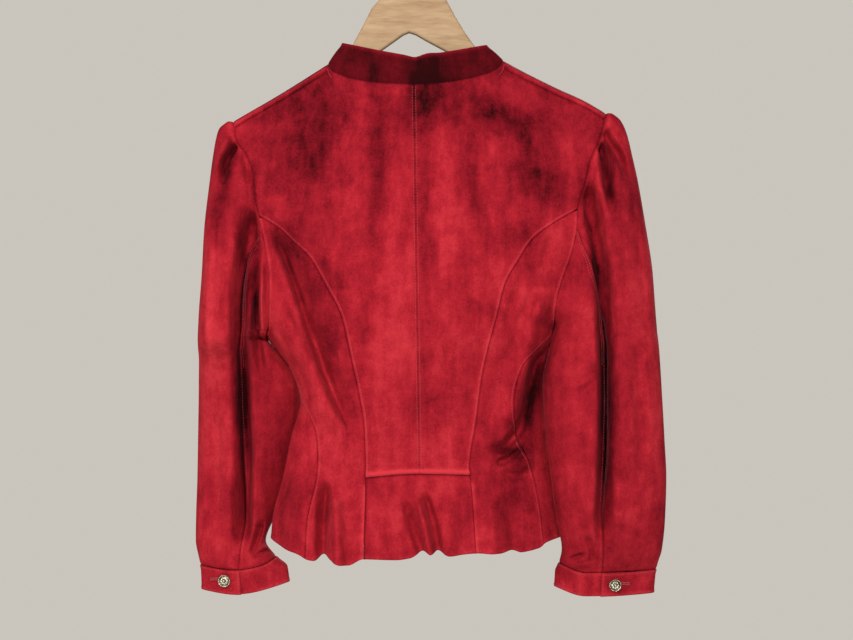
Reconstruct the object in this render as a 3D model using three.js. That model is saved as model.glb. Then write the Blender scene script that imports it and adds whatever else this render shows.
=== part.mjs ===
// A fitted suede jacket with puffed sleeve heads, hung on a wooden hanger.
// Millimetres, +Z up. +X is the wearer's right, -Y is the back of the garment.
// The origin is inside the top of the hanger's hook, where a rail carries it.
import * as THREE from 'three';

// ---------- Driving dimensions ----------
const WALL = 1.4;              // suede with its turned edges
const SEAM_GAP = 0.3;          // between two pieces at a seam
const UNDERARM_GAP = 1.5;      // more where the seam turns under the arm
const SEAM_PULL = 0.3;         // each cut edge is drawn back along the cloth by this
const COLLAR_HEIGHT = 28;
const CUFF_LAP = 22;           // the buttoned overlap of a cuff
const FRONT_LAP = 12;          // each front edge passes the centre front by this
const LAP_STEP = 3.2;          // how far the under layer of a lap lies below the upper
const BUTTON_RADIUS = 7.8;
const BUTTON_HEIGHT = 4.2;
const FRONT_BUTTONS = 6;
const FRONT_BUTTON_ROW = { top: -258, bottom: -640 };
const HANGER_THICKNESS = 12;
const HOOK_WIRE_RADIUS = 2;
const HOOK_RADIUS = 22;        // centre line of the hook's round
const HANGER_TOP = -62;        // top of the wood, under the hook
const RIDGE = 9;               // the cloth's half thickness over the hanger's arm
const ROOF_SPREAD = 46;        // how fast the cloth falls away from the arm
const SECTION_POWER = 2.4;     // torso sections: a little squarer than an ellipse
const SLEEVE_POWER = 2.3;
const CAP_BLEND = 42;          // width over which a sleeve joins the torso's depth
const FOLD_FADE = 0.35;        // folds end where the cloth turns the corner of a section
const SEAM_FADE = 9;           // and sleeve folds end this close to the armhole
const RIDGE_EDGE = 0.002;      // the shoulder seam's cut edges lie this far down the ridge

// ---------- How finely the pieces are divided ----------
const ARMHOLE_STEPS = { above: 8, below: 9 };   // above and below the princess seam's start
const SIDE_COLUMNS = 7;                         // across a side back
const WAIST_STEPS = 9;                          // armpit to waist
const PEPLUM_STEPS = 6;                         // waist to hem
const SHOULDER_STEPS = 5;
const NECK_STEPS = { back: 7, front: 8 };       // each quarter of the neck
const NECK_EASE = { back: 1.6, front: 1.8 };    // crowds them near the shoulder
const SLEEVE_STEPS = { down: 16, across: 13 };
const CUFF_STEPS = { across: 28, down: 2 };
const COLLAR_ROWS = 3;

// ---------- Colours ----------
const SUEDE = { color: 0xa81b2c, roughness: 0.95, metalness: 0 };
const WOOD = { color: 0xd8b98a, roughness: 0.6, metalness: 0 };
const STEEL = { color: 0xb9bcc0, roughness: 0.3, metalness: 1 };
const OLD_METAL = { color: 0x8f8570, roughness: 0.45, metalness: 1 };

// ---------- Tables ----------
// Torso sections: left and right extremes, depth of back and front,
// and how far the section's left and right ends lie towards the front.
const TORSO = [
  { z: -120, left: -262, right: 262, back: 24, front: 22, leftY: 0, rightY: 0 },
  { z: -187, left: -262, right: 262, back: 34, front: 30, leftY: 0, rightY: 0 },
  { z: -260, left: -250, right: 250, back: 46, front: 42, leftY: 0, rightY: 0 },
  { z: -340, left: -228, right: 228, back: 54, front: 58, leftY: 0, rightY: 0 },
  { z: -410, left: -209, right: 203, back: 58, front: 67, leftY: 0, rightY: 0 },
  { z: -445, left: -197, right: 187, back: 58, front: 67, leftY: 0, rightY: 0 },
  { z: -474, left: -185.5, right: 161, back: 57.5, front: 65, leftY: 0, rightY: 0 },
  { z: -483, left: -181, right: 158, back: 57, front: 64, leftY: 0, rightY: 0 },
  { z: -520, left: -152, right: 152, back: 54, front: 59, leftY: -6, rightY: 8 },
  { z: -558, left: -140, right: 153, back: 51, front: 54, leftY: -11, rightY: 14 },
  { z: -600, left: -151, right: 157, back: 49, front: 51, leftY: -13, rightY: 17 },
  { z: -643, left: -160, right: 163, back: 50, front: 52, leftY: -14, rightY: 17 },
  { z: -700, left: -174, right: 172, back: 62, front: 62, leftY: -14, rightY: 14 },
  { z: -750, left: -177, right: 178, back: 73, front: 70, leftY: -14, rightY: 12 },
];

// The ridge of the shoulders, over the hanger's arms.
const SHOULDER = [
  { x: -240, z: -235 }, { x: -204, z: -214 }, { x: -167, z: -192.5 }, { x: -112, z: -158 },
  { x: -60, z: -124 }, { x: 0, z: -100 }, { x: 60, z: -124 }, { x: 103, z: -152 },
  { x: 163, z: -183 }, { x: 200, z: -200 }, { x: 240, z: -224 },
];

// Armhole seams, the same at the back and the front.
const ARMHOLE = {
  left: [
    { z: -224, x: -221 }, { z: -249, x: -216 }, { z: -263, x: -205 }, { z: -290, x: -195 },
    { z: -318, x: -192 }, { z: -339, x: -187.5 }, { z: -373, x: -180 }, { z: -410, x: -175 },
    { z: -441, x: -175 }, { z: -470, x: -176 }, { z: -483, x: -181 },
  ],
  right: [
    { z: -214, x: 224 }, { z: -233, x: 220 }, { z: -249, x: 214.5 }, { z: -272, x: 204 },
    { z: -296, x: 198 }, { z: -331, x: 188 }, { z: -355, x: 186.5 }, { z: -382, x: 181 },
    { z: -409, x: 171.5 }, { z: -433, x: 164 }, { z: -456, x: 161 }, { z: -474, x: 161 },
  ],
};
const ARMPIT = { left: -483, right: -474 };
const ARMPIT_STEP = 3;   // the armhole's last step, where it turns under the arm
const PRINCESS_START = { left: -339, right: -331 };

// Curved back seams from the armholes to the waist, then the peplum's slits to the hem.
const PRINCESS = {
  left: [
    { z: -339, x: -187.5 }, { z: -355, x: -162 }, { z: -371, x: -145 }, { z: -388, x: -127 },
    { z: -418, x: -109 }, { z: -460, x: -88 }, { z: -509, x: -77 }, { z: -551, x: -68 },
    { z: -587, x: -62.5 }, { z: -641, x: -61 }, { z: -738, x: -63 },
  ],
  right: [
    { z: -331, x: 188 }, { z: -348, x: 159 }, { z: -367, x: 134 }, { z: -392, x: 117 },
    { z: -418, x: 102 }, { z: -460, x: 91 }, { z: -498, x: 81 }, { z: -533, x: 74 },
    { z: -580, x: 68 }, { z: -637, x: 60 }, { z: -662, x: 63 }, { z: -738, x: 68 },
  ],
};
const CENTRE_BACK = [{ z: -187, x: -5 }, { z: -445, x: -1 }, { z: -643, x: 2 }];

// Side seams: how far each lies inside the section's end, towards the centre back.
const SIDE_SEAM = {
  left: [
    { z: -483, inset: 0 }, { z: -552, inset: 1 }, { z: -572, inset: 14 }, { z: -600, inset: 33 },
    { z: -650, inset: 43 }, { z: -700, inset: 45 }, { z: -745, inset: 46 },
  ],
  right: [
    { z: -474, inset: 0 }, { z: -492, inset: 16 }, { z: -520, inset: 35 }, { z: -556, inset: 42 },
    { z: -600, inset: 41 }, { z: -632, inset: 29.5 }, { z: -670, inset: 26 }, { z: -740, inset: 28 },
  ],
};

const WAIST = [{ x: -62, z: -646.5 }, { x: -5, z: -642.5 }, { x: 62, z: -644.5 }];

// The hem, seen from the back, from one side to the other.
const HEM_BACK = [
  { x: -178, z: -717 }, { x: -169, z: -722 }, { x: -155, z: -728 }, { x: -141, z: -733 },
  { x: -128, z: -740 }, { x: -120, z: -741 }, { x: -110, z: -735 }, { x: -94, z: -743 },
  { x: -81, z: -745 }, { x: -63, z: -738 }, { x: -25, z: -739 }, { x: -9, z: -737 },
  { x: 7, z: -730 }, { x: 15, z: -732.5 }, { x: 23, z: -730 }, { x: 36, z: -735 },
  { x: 66, z: -733 }, { x: 96, z: -734 }, { x: 110, z: -731.5 }, { x: 120, z: -734 },
  { x: 142, z: -731 }, { x: 152, z: -725 }, { x: 165, z: -722 }, { x: 180, z: -720 },
];
const HEM_FRONT = [
  { x: -178, z: -717 }, { x: -150, z: -727 }, { x: -120, z: -734 }, { x: -92, z: -730 },
  { x: -62, z: -739 }, { x: -30, z: -736 }, { x: 0, z: -742 }, { x: 30, z: -736 },
  { x: 62, z: -739 }, { x: 92, z: -731 }, { x: 120, z: -735 }, { x: 150, z: -728 },
  { x: 180, z: -720 },
];

// The neck seam and the collar's top edge, as ellipses seen from above.
const NECK = { x: -3, halfWidth: 104.6, z: -153, tilt: 0.019, backDrop: 30, frontDrop: 76 };
const NECK_CENTRE = -187;   // the back neck's lowest height
const COLLAR_TOP = {
  x: -4.5, halfWidth: 85, z: -131.5, tilt: -0.014,
  backDrop: 20, frontDrop: 72, back: 31, front: 34,
  straightness: 0.75,   // how much the back's top edge runs straight down to its middle
};

// Sleeve sections below and above the armpit: outer and inner ends, depth of back and
// front, and how far the section lies towards the front. Above the armpit the inner
// end is inside the torso and the armhole cuts the section off.
const SLEEVE = {
  left: [
    { z: -222, outer: -223, inner: -150, back: 10, front: 10, midY: 0 },
    { z: -227, outer: -232, inner: -150, back: 14, front: 14, midY: 0 },
    { z: -234, outer: -239, inner: -150, back: 18, front: 18, midY: 0 },
    { z: -255, outer: -244, inner: -148, back: 27, front: 26, midY: 0 },
    { z: -300, outer: -250, inner: -142, back: 38, front: 38, midY: 0 },
    { z: -354, outer: -256, inner: -136, back: 46, front: 48, midY: 0 },
    { z: -410, outer: -259, inner: -140, back: 50, front: 54, midY: 0 },
    { z: -450, outer: -262, inner: -158, back: 50, front: 54, midY: 0 },
    { z: -470, outer: -263, inner: -171, back: 49, front: 53, midY: 0 },
    { z: -483, outer: -263.5, inner: -182, back: 48, front: 52, midY: 0 },
    { z: -494, outer: -264, inner: -176, back: 47.2, front: 50, midY: 3 },
    { z: -510, outer: -264.5, inner: -161.5, back: 46, front: 47, midY: 12 },
    { z: -535, outer: -265.5, inner: -146, back: 44, front: 44, midY: 19 },
    { z: -558, outer: -266, inner: -141, back: 42, front: 41, midY: 23 },
    { z: -600, outer: -267, inner: -147, back: 39, front: 38, midY: 25 },
    { z: -650, outer: -268, inner: -158, back: 36, front: 35, midY: 26 },
    { z: -700, outer: -269, inner: -174, back: 31, front: 30, midY: 21 },
    { z: -728, outer: -268, inner: -184, back: 27, front: 26, midY: 12 },
    { z: -745, outer: -264, inner: -172, back: 22, front: 22, midY: 6 },
    { z: -757, outer: -261, inner: -157, back: 17, front: 17, midY: 2 },
    { z: -790, outer: -259.5, inner: -153, back: 15, front: 15, midY: 2 },
  ],
  right: [
    { z: -212, outer: 226, inner: 150, back: 10, front: 10, midY: 0 },
    { z: -216.5, outer: 235, inner: 150, back: 14, front: 14, midY: 0 },
    { z: -224, outer: 243, inner: 150, back: 19, front: 18, midY: 0 },
    { z: -240, outer: 250, inner: 148, back: 27, front: 26, midY: 0 },
    { z: -265, outer: 256, inner: 146, back: 34, front: 32, midY: 0 },
    { z: -297, outer: 263, inner: 142, back: 40, front: 38, midY: 0 },
    { z: -350, outer: 272, inner: 132, back: 47, front: 48, midY: 0 },
    { z: -402, outer: 280, inner: 126, back: 50, front: 54, midY: 0 },
    { z: -441, outer: 283, inner: 136, back: 50, front: 54, midY: 0 },
    { z: -461, outer: 284.5, inner: 151, back: 49, front: 53, midY: 0 },
    { z: -474, outer: 285.5, inner: 161.8, back: 48, front: 52, midY: 0 },
    { z: -500, outer: 286.5, inner: 156.5, back: 47, front: 45, midY: -8 },
    { z: -538, outer: 288, inner: 148, back: 44, front: 41, midY: -17 },
    { z: -600, outer: 291, inner: 153, back: 40, front: 37, midY: -22 },
    { z: -650, outer: 293.5, inner: 160, back: 37, front: 34, midY: -22 },
    { z: -700, outer: 292.5, inner: 165, back: 32, front: 30, midY: -19 },
    { z: -735, outer: 290, inner: 171, back: 26, front: 25, midY: -12 },
    { z: -751, outer: 286, inner: 168, back: 21, front: 21, midY: -8 },
    { z: -761, outer: 284, inner: 163.5, back: 17, front: 17, midY: -6 },
    { z: -792, outer: 281, inner: 162, back: 15, front: 15, midY: -6 },
  ],
};

// Back sleeve seams, from the armhole down the deep fold to the cuff's slit.
const HIND_SEAM = {
  left: [
    { z: -353, x: -186 }, { z: -377, x: -198 }, { z: -394, x: -203 }, { z: -427, x: -208 },
    { z: -474, x: -210 }, { z: -509, x: -213.5 }, { z: -560, x: -213 }, { z: -615, x: -211 },
    { z: -700, x: -209 }, { z: -733, x: -211 }, { z: -790, x: -216 },
  ],
  right: [
    { z: -355, x: 187 }, { z: -376, x: 194 }, { z: -396, x: 202 }, { z: -418, x: 208 },
    { z: -439, x: 214.5 }, { z: -462, x: 218.5 }, { z: -498, x: 221 }, { z: -560, x: 221 },
    { z: -615, x: 220 }, { z: -710, x: 217 }, { z: -792, x: 218.5 },
  ],
};
// The front sleeve seams lie this share of the section's width from its inner end.
const FORE_SHARE = 0.3;

const CUFF = {
  left: { top: -757, bottom: -786, tilt: [{ x: -262, rise: 2 }, { x: -218, rise: -3 }, { x: -152, rise: 12 }] },
  right: { top: -761, bottom: -789, tilt: [{ x: 162, rise: 10 }, { x: 200, rise: -1 }, { x: 283, rise: 2 }] },
};
const CUFF_BUTTON = { left: { x: -230, z: -772 }, right: { x: 233, z: -775.5 } };

// Folds: each follows a path in the garment's front plane. Height is out of the cloth,
// so a trough is negative; reach is the half width. A fold that runs on past the end of
// its path, into a hem or a seam, is open there.
const TORSO_FOLDS = [
  { face: 'back', height: -7, reach: 17, open: false,
    path: [[-176, -352], [-158, -388], [-142, -428], [-117, -500], [-95, -556], [-68, -612]] },
  { face: 'back', height: 8, reach: 27, open: false,
    path: [[-172, -440], [-152, -490], [-128, -535], [-100, -575], [-74, -612]] },
  { face: 'back', height: -9, reach: 13, open: true,
    path: [[-107, -648], [-110, -690], [-110, -740]] },
  { face: 'back', height: 7, reach: 12, open: true,
    path: [[-96, -662], [-94, -700], [-92, -748]] },
  { face: 'back', height: 7, reach: 17, open: true,
    path: [[-140, -630], [-146, -685], [-150, -735]] },
  { face: 'back', height: 4, reach: 8, open: true,
    path: [[-66, -637], [0, -634], [66, -635]] },
  { face: 'back', height: -6, reach: 8, open: true,
    path: [[-17, -672], [-6, -705], [6, -736]] },
  { face: 'back', height: 7, reach: 8, open: true,
    path: [[-1, -662], [10, -700], [17, -740]] },
  { face: 'back', height: -9, reach: 9, open: true,
    path: [[4, -660], [17, -700], [25, -738]] },
  { face: 'back', height: 5, reach: 15, open: true,
    path: [[34, -665], [37, -700], [38, -740]] },
  { face: 'back', height: 11, reach: 24, open: false,
    path: [[163, -410], [137, -470], [122, -520], [112, -567], [92, -607]] },
  { face: 'back', height: -18, reach: 9, open: false,
    path: [[152, -492], [140, -512], [133, -540], [129, -565], [122, -592], [106, -612], [76, -618]] },
  { face: 'back', height: -6, reach: 7, open: false,
    path: [[90, -632], [108, -626], [126, -612]] },
  { face: 'back', height: -6, reach: 12, open: true,
    path: [[112, -660], [111, -695], [110, -735]] },
  { face: 'back', height: 6, reach: 14, open: true,
    path: [[92, -660], [88, -700], [86, -738]] },
  { face: 'front', height: -7, reach: 18, open: false,
    path: [[-150, -400], [-120, -470], [-98, -540], [-88, -610]] },
  { face: 'front', height: -7, reach: 18, open: false,
    path: [[146, -395], [118, -470], [98, -540], [88, -610]] },
  { face: 'front', height: -9, reach: 14, open: true,
    path: [[-92, -650], [-92, -695], [-92, -740]] },
  { face: 'front', height: -8, reach: 13, open: true,
    path: [[-34, -655], [-32, -700], [-30, -745]] },
  { face: 'front', height: -8, reach: 13, open: true,
    path: [[36, -655], [33, -700], [30, -745]] },
  { face: 'front', height: -9, reach: 14, open: true,
    path: [[94, -650], [93, -695], [92, -740]] },
];
const SLEEVE_FOLDS = {
  left: [
    { face: 'back', height: -20, reach: 11, open: false,
      path: [[-189, -310], [-195, -345], [-203, -394], [-206, -430], [-209, -500], [-209, -560],
        [-208, -620], [-208, -680], [-210, -735]] },
    { face: 'back', height: -9, reach: 7, open: false,
      path: [[-191, -366], [-192, -440], [-190, -486], [-184, -535]] },
    { face: 'back', height: -8, reach: 7, open: false,
      path: [[-217, -243], [-221, -258], [-230, -274], [-231, -300]] },
    { face: 'back', height: -4, reach: 5, open: false,
      path: [[-207, -262], [-203, -277], [-200, -300]] },
    { face: 'front', height: -8, reach: 7, open: false,
      path: [[-217, -243], [-222, -258], [-229, -276], [-230, -305]] },
    { face: 'front', height: -12, reach: 12, open: false,
      path: [[-196, -330], [-206, -400], [-212, -480], [-214, -580], [-210, -700]] },
    { face: 'back', height: -5, reach: 12, open: false,
      path: [[-238, -560], [-243, -640], [-240, -720]] },
  ],
  right: [
    { face: 'back', height: -20, reach: 11, open: false,
      path: [[190, -290], [200, -318], [207, -350], [213, -385], [217, -430], [218, -500],
        [219, -560], [217, -620], [216, -680], [216, -735]] },
    { face: 'back', height: -8, reach: 6, open: false,
      path: [[220, -230], [226, -248], [238, -265], [246, -290]] },
    { face: 'back', height: -9, reach: 8, open: false,
      path: [[212, -246], [219, -265], [222, -305], [229, -340]] },
    { face: 'back', height: -4, reach: 9, open: false,
      path: [[160, -508], [174, -503], [190, -495]] },
    { face: 'back', height: -4, reach: 8, open: false,
      path: [[182, -548], [196, -542], [210, -532]] },
    { face: 'front', height: -8, reach: 7, open: false,
      path: [[220, -232], [226, -250], [236, -270], [240, -300]] },
    { face: 'front', height: -12, reach: 12, open: false,
      path: [[200, -330], [212, -400], [220, -480], [224, -580], [218, -700]] },
    { face: 'back', height: -5, reach: 12, open: false,
      path: [[252, -470], [258, -560], [258, -650]] },
  ],
};

// ---------- Small mathematics ----------
const mix = (a, b, t) => a + (b - a) * t;
const clamp01 = (t) => Math.min(1, Math.max(0, t));
const smooth = (t) => clamp01(t) ** 2 * (3 - 2 * clamp01(t));
const signedPower = (value, power) => Math.sign(value) * Math.abs(value) ** power;

/** A smooth curve through the rows of a table: column `key` as a function of column `axis`. */
function curveOf(rows, axis, key) {
  const sorted = [...rows].sort((a, b) => a[axis] - b[axis]);
  const at = sorted.map((row) => row[axis]);
  const value = sorted.map((row) => row[key]);
  const last = at.length - 1;
  const chord = at.slice(1).map((end, i) => (value[i + 1] - value[i]) / (end - at[i]));
  const slope = at.map((_, i) => {
    if (i === 0) return chord[0];
    if (i === last) return chord[last - 1];
    if (chord[i - 1] * chord[i] <= 0) return 0;
    return (2 * chord[i - 1] * chord[i]) / (chord[i - 1] + chord[i]);
  });
  return (position) => {
    const p = Math.min(at[last], Math.max(at[0], position));
    let i = 0;
    while (i < last - 1 && p > at[i + 1]) i += 1;
    const span = at[i + 1] - at[i];
    const t = (p - at[i]) / span;
    const rise = 3 * t * t - 2 * t * t * t;
    return mix(value[i], value[i + 1], rise)
      + span * (slope[i] * t * (1 - t) ** 2 - slope[i + 1] * t * t * (1 - t));
  };
}

/** All the columns of a table as smooth functions of one of them. */
function curvesOf(rows, axis) {
  const keys = Object.keys(rows[0]).filter((key) => key !== axis);
  return Object.fromEntries(keys.map((key) => [key, curveOf(rows, axis, key)]));
}

/** Distance from a point to a fold's path, and how far along the path it lies, 0 to 1. */
function nearestOnPath(path, x, z) {
  let best = { distance: Infinity, share: 0 };
  for (let i = 0; i < path.length - 1; i += 1) {
    const [ax, az] = path[i];
    const dx = path[i + 1][0] - ax;
    const dz = path[i + 1][1] - az;
    const t = clamp01(((x - ax) * dx + (z - az) * dz) / (dx * dx + dz * dz));
    const distance = Math.hypot(x - ax - t * dx, z - az - t * dz);
    if (distance < best.distance) best = { distance, share: (i + t) / (path.length - 1) };
  }
  return best;
}

/** The height that a list of folds adds at a point of one face. */
function foldHeight(folds, face, x, z) {
  let height = 0;
  for (const fold of folds) {
    if (fold.face !== face) continue;
    const { distance, share } = nearestOnPath(fold.path, x, z);
    const across = distance / fold.reach;
    if (across >= 1) continue;
    const ends = smooth(share / 0.22) * (fold.open ? 1 : smooth((1 - share) / 0.22));
    height += fold.height * ends * (1 - across * across) ** 2;
  }
  return height;
}

// ---------- The torso's surface ----------
const torso = curvesOf(TORSO, 'z');
const shoulderTop = curveOf(SHOULDER, 'x', 'z');
const centreBack = curveOf(CENTRE_BACK, 'z', 'x');
const waist = curveOf(WAIST, 'x', 'z');
const hem = { back: curveOf(HEM_BACK, 'x', 'z'), front: curveOf(HEM_FRONT, 'x', 'z') };

/** Depth of the cloth below the shoulder ridge: round over the arm, then falling away. */
function roofed(depth, below) {
  if (below <= 0) return 0;
  if (below < RIDGE) {
    const round = RIDGE * Math.sqrt(1 - (1 - below / RIDGE) ** 2);
    return Math.min(round, depth);
  }
  if (depth <= RIDGE) return depth;
  return RIDGE + (depth - RIDGE) * (1 - Math.exp(-(below - RIDGE) / ROOF_SPREAD));
}

/** A point of the torso: the angle runs from +X by the back (-Y) to -X and by the front. */
function torsoPoint(angle, z) {
  const left = torso.left(z);
  const right = torso.right(z);
  const power = 2 / SECTION_POWER;
  const x = (left + right) / 2 + ((right - left) / 2) * signedPower(Math.cos(angle), power);
  const face = Math.sin(angle) >= 0 ? 'back' : 'front';
  const full = torso[face](z) * Math.abs(Math.sin(angle)) ** power;
  const turned = smooth(Math.abs(Math.sin(angle)) / FOLD_FADE);
  const fold = turned > 0 ? turned * foldHeight(TORSO_FOLDS, face, x, z) : 0;
  const depth = roofed(full, shoulderTop(x) - z) + fold;
  const middle = mix(torso.leftY(z), torso.rightY(z), clamp01((x - left) / (right - left)));
  return new THREE.Vector3(x, middle + (face === 'back' ? -depth : depth), z);
}

/** The angle of the torso's section at which it crosses a given x. */
function torsoAngle(x, z, face) {
  const left = torso.left(z);
  const right = torso.right(z);
  const share = Math.max(-1, Math.min(1, (x - (left + right) / 2) / ((right - left) / 2)));
  const angle = Math.acos(signedPower(share, SECTION_POWER / 2));
  return face === 'back' ? angle : 2 * Math.PI - angle;
}

// ---------- The sleeves' surface ----------
const sleeve = { left: curvesOf(SLEEVE.left, 'z'), right: curvesOf(SLEEVE.right, 'z') };
const armhole = { left: curveOf(ARMHOLE.left, 'z', 'x'), right: curveOf(ARMHOLE.right, 'z', 'x') };

/** A sleeve's section: the angle runs from its outer end by the back to its inner end. */
function sleeveSection(side, angle, z) {
  const section = sleeve[side];
  const outer = section.outer(z);
  const inner = section.inner(z);
  const power = 2 / SLEEVE_POWER;
  const x = (outer + inner) / 2 + ((outer - inner) / 2) * signedPower(Math.cos(angle), power);
  const face = Math.sin(angle) >= 0 ? 'back' : 'front';
  const depth = section[face](z) * Math.abs(Math.sin(angle)) ** power;
  return { x, y: section.midY(z) + (face === 'back' ? -depth : depth), face };
}

/** The angle of a sleeve's section at which it crosses a given x. */
function sleeveAngle(side, x, z, face) {
  const section = sleeve[side];
  const outer = section.outer(z);
  const inner = section.inner(z);
  const share = Math.max(-1, Math.min(1, (x - (outer + inner) / 2) / ((outer - inner) / 2)));
  const angle = Math.acos(signedPower(share, SLEEVE_POWER / 2));
  return face === 'back' ? angle : 2 * Math.PI - angle;
}

/** A point of a sleeve. Above the armpit it takes the torso's depth at the armhole. */
function sleevePoint(side, angle, z) {
  const { x, y, face } = sleeveSection(side, angle, z);
  let depth = y;
  let free = 1;
  if (z > ARMPIT[side]) {
    const seamX = armhole[side](z);
    const seam = torsoPoint(torsoAngle(seamX, z, face), z).y;
    const own = sleeveSection(side, sleeveAngle(side, seamX, z, face), z).y;
    const blend = Math.min(CAP_BLEND, 0.9 * Math.abs(sleeve[side].outer(z) - seamX));
    depth += (seam - own) * smooth(1 - Math.abs(x - seamX) / blend);
    free = smooth(Math.abs(x - seamX) / SEAM_FADE);
  }
  const turned = smooth(Math.abs(Math.sin(angle)) / FOLD_FADE) * smooth((z - CUFF[side].top) / 26);
  const fold = free * turned * foldHeight(SLEEVE_FOLDS[side], face, x, z);
  return new THREE.Vector3(x, depth + (face === 'back' ? -fold : fold), z);
}

// ---------- Cloth walls ----------
/**
 * A grid of [angle, z] inside four edges. The left and right edges are functions that
 * give the angle at a height, with a list of the rows' heights; the top and bottom edges
 * are lists of [angle, z]. Each point lies between the two sides at its own height.
 */
function patch({ left, right, top, bottom }) {
  const rows = left.heights.length - 1;
  const columns = top.length - 1;
  const share = ([angle, z]) => (angle - left.angle(z)) / (right.angle(z) - left.angle(z));
  const shares = [top, bottom].map((edge) => edge.map(share));
  const bow = (edge, shareOf) => edge.map(([, z], i) => z - mix(edge[0][1], edge[columns][1], shareOf[i]));
  const [topBow, bottomBow] = [bow(top, shares[0]), bow(bottom, shares[1])];
  const grid = [];
  for (let j = 0; j <= rows; j += 1) {
    const down = (left.heights[0] - left.heights[j]) / (left.heights[0] - left.heights[rows]);
    for (let i = 0; i <= columns; i += 1) {
      const across = i === columns ? 1 : mix(shares[0][i], shares[1][i], down);
      const z = mix(left.heights[j], right.heights[j], across)
        + topBow[i] * (1 - down) + bottomBow[i] * down ** 3;
      grid.push([mix(left.angle(z), right.angle(z), across), z]);
    }
  }
  return { grid, columns, rows };
}

/** The outward normal of a surface of (angle, z): away from the middle of its section. */
function outwardNormal(surface, angle, z) {
  const step = 0.012;
  const point = surface(angle, z);
  if (surface === torsoPoint && shoulderTop(point.x) - z < 0.5) {
    return new THREE.Vector3(shoulderTop(point.x - 1) - shoulderTop(point.x + 1), 0, 2).normalize();
  }
  const alongAngle = surface(angle + step, z).sub(surface(angle - step, z));
  const alongZ = surface(angle, z + 1).sub(surface(angle, z - 1));
  const normal = alongAngle.cross(alongZ).normalize();
  const outward = point.sub(surface(angle + Math.PI, z)).setZ(8);
  return normal.dot(outward) < 0 ? normal.negate() : normal;
}

/** Pulls the rim of a grid of points in, to leave the seam gap. */
function trimRim(points, columns, rows) {
  const at = (i, j) => points[j * (columns + 1) + i];
  const pull = (point, towards) => {
    const step = towards.clone().sub(point);
    point.addScaledVector(step.normalize(), SEAM_PULL);
  };
  for (let i = 0; i <= columns; i += 1) {
    pull(at(i, 0), at(i, 1));
    pull(at(i, rows), at(i, rows - 1));
  }
  for (let j = 0; j <= rows; j += 1) {
    pull(at(0, j), at(1, j));
    pull(at(columns, j), at(columns - 1, j));
  }
}

/** A closed wall from a grid of outer points and the directions into the cloth. */
function wallGeometry(outer, inward, columns, rows, thickness = WALL) {
  const count = (columns + 1) * (rows + 1);
  const inner = outer.map((point, i) => point.clone().addScaledVector(inward[i], thickness));
  const positions = [...outer, ...inner].flatMap((point) => [point.x, point.y, point.z]);
  const index = [];
  const quad = (a, b, c, d) => index.push(a, b, c, a, c, d);
  const at = (i, j) => j * (columns + 1) + i;
  for (let j = 0; j < rows; j += 1) {
    for (let i = 0; i < columns; i += 1) {
      quad(at(i, j), at(i, j + 1), at(i + 1, j + 1), at(i + 1, j));
      quad(count + at(i, j), count + at(i + 1, j), count + at(i + 1, j + 1), count + at(i, j + 1));
    }
  }
  for (let i = 0; i < columns; i += 1) {
    quad(at(i, 0), at(i + 1, 0), count + at(i + 1, 0), count + at(i, 0));
    quad(at(i + 1, rows), at(i, rows), count + at(i, rows), count + at(i + 1, rows));
  }
  for (let j = 0; j < rows; j += 1) {
    quad(at(0, j + 1), at(0, j), count + at(0, j), count + at(0, j + 1));
    quad(at(columns, j), at(columns, j + 1), count + at(columns, j + 1), count + at(columns, j));
  }
  const geometry = new THREE.BufferGeometry();
  geometry.setAttribute('position', new THREE.Float32BufferAttribute(positions, 3));
  geometry.setIndex(index);
  if (signedVolume(geometry) < 0) {
    for (let k = 0; k < index.length; k += 3) [index[k], index[k + 1]] = [index[k + 1], index[k]];
    geometry.setIndex(index);
  }
  geometry.computeVertexNormals();
  return geometry;
}

/** Six times the volume inside a closed mesh; negative when its faces point in. */
function signedVolume(geometry) {
  const position = geometry.getAttribute('position');
  const index = geometry.getIndex();
  const [a, b, c] = [new THREE.Vector3(), new THREE.Vector3(), new THREE.Vector3()];
  let volume = 0;
  for (let k = 0; k < index.count; k += 3) {
    a.fromBufferAttribute(position, index.getX(k));
    b.fromBufferAttribute(position, index.getX(k + 1));
    c.fromBufferAttribute(position, index.getX(k + 2));
    volume += a.dot(b.cross(c));
  }
  return volume;
}

/** A panel cut from a surface of (angle, z) by four edges. `lower` sinks its points. */
function panelGeometry(surface, edges, lower = () => 0) {
  const { grid, columns, rows } = patch(edges);
  const outer = [];
  const inward = [];
  for (const [angle, z] of grid) {
    const normal = outwardNormal(surface, angle, z);
    const point = surface(angle, z);
    outer.push(point.addScaledVector(normal, -lower(point)));
    inward.push(normal.clone().negate());
  }
  trimRim(outer, columns, rows);
  return wallGeometry(outer, inward, columns, rows);
}

const group = new THREE.Group();

/** Adds a named piece. */
function addPiece(name, geometry, finish) {
  const mesh = new THREE.Mesh(geometry, new THREE.MeshStandardMaterial(finish));
  mesh.name = name;
  group.add(mesh);
  return mesh;
}

// ---------- Edges of the panels, as lists of [angle, z] ----------
const SIDES = [['left', -1], ['right', 1]];
const princess = { left: curveOf(PRINCESS.left, 'z', 'x'), right: curveOf(PRINCESS.right, 'z', 'x') };
const hindSeam = { left: curveOf(HIND_SEAM.left, 'z', 'x'), right: curveOf(HIND_SEAM.right, 'z', 'x') };
const cuffRise = { left: curveOf(CUFF.left.tilt, 'x', 'rise'), right: curveOf(CUFF.right.tilt, 'x', 'rise') };

/** Evenly spaced numbers from one end to the other; `ease` above 1 crowds the start. */
function steps(from, to, count, ease = 1) {
  return Array.from({ length: count + 1 }, (_, i) => mix(from, to, (i / count) ** ease));
}

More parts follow.
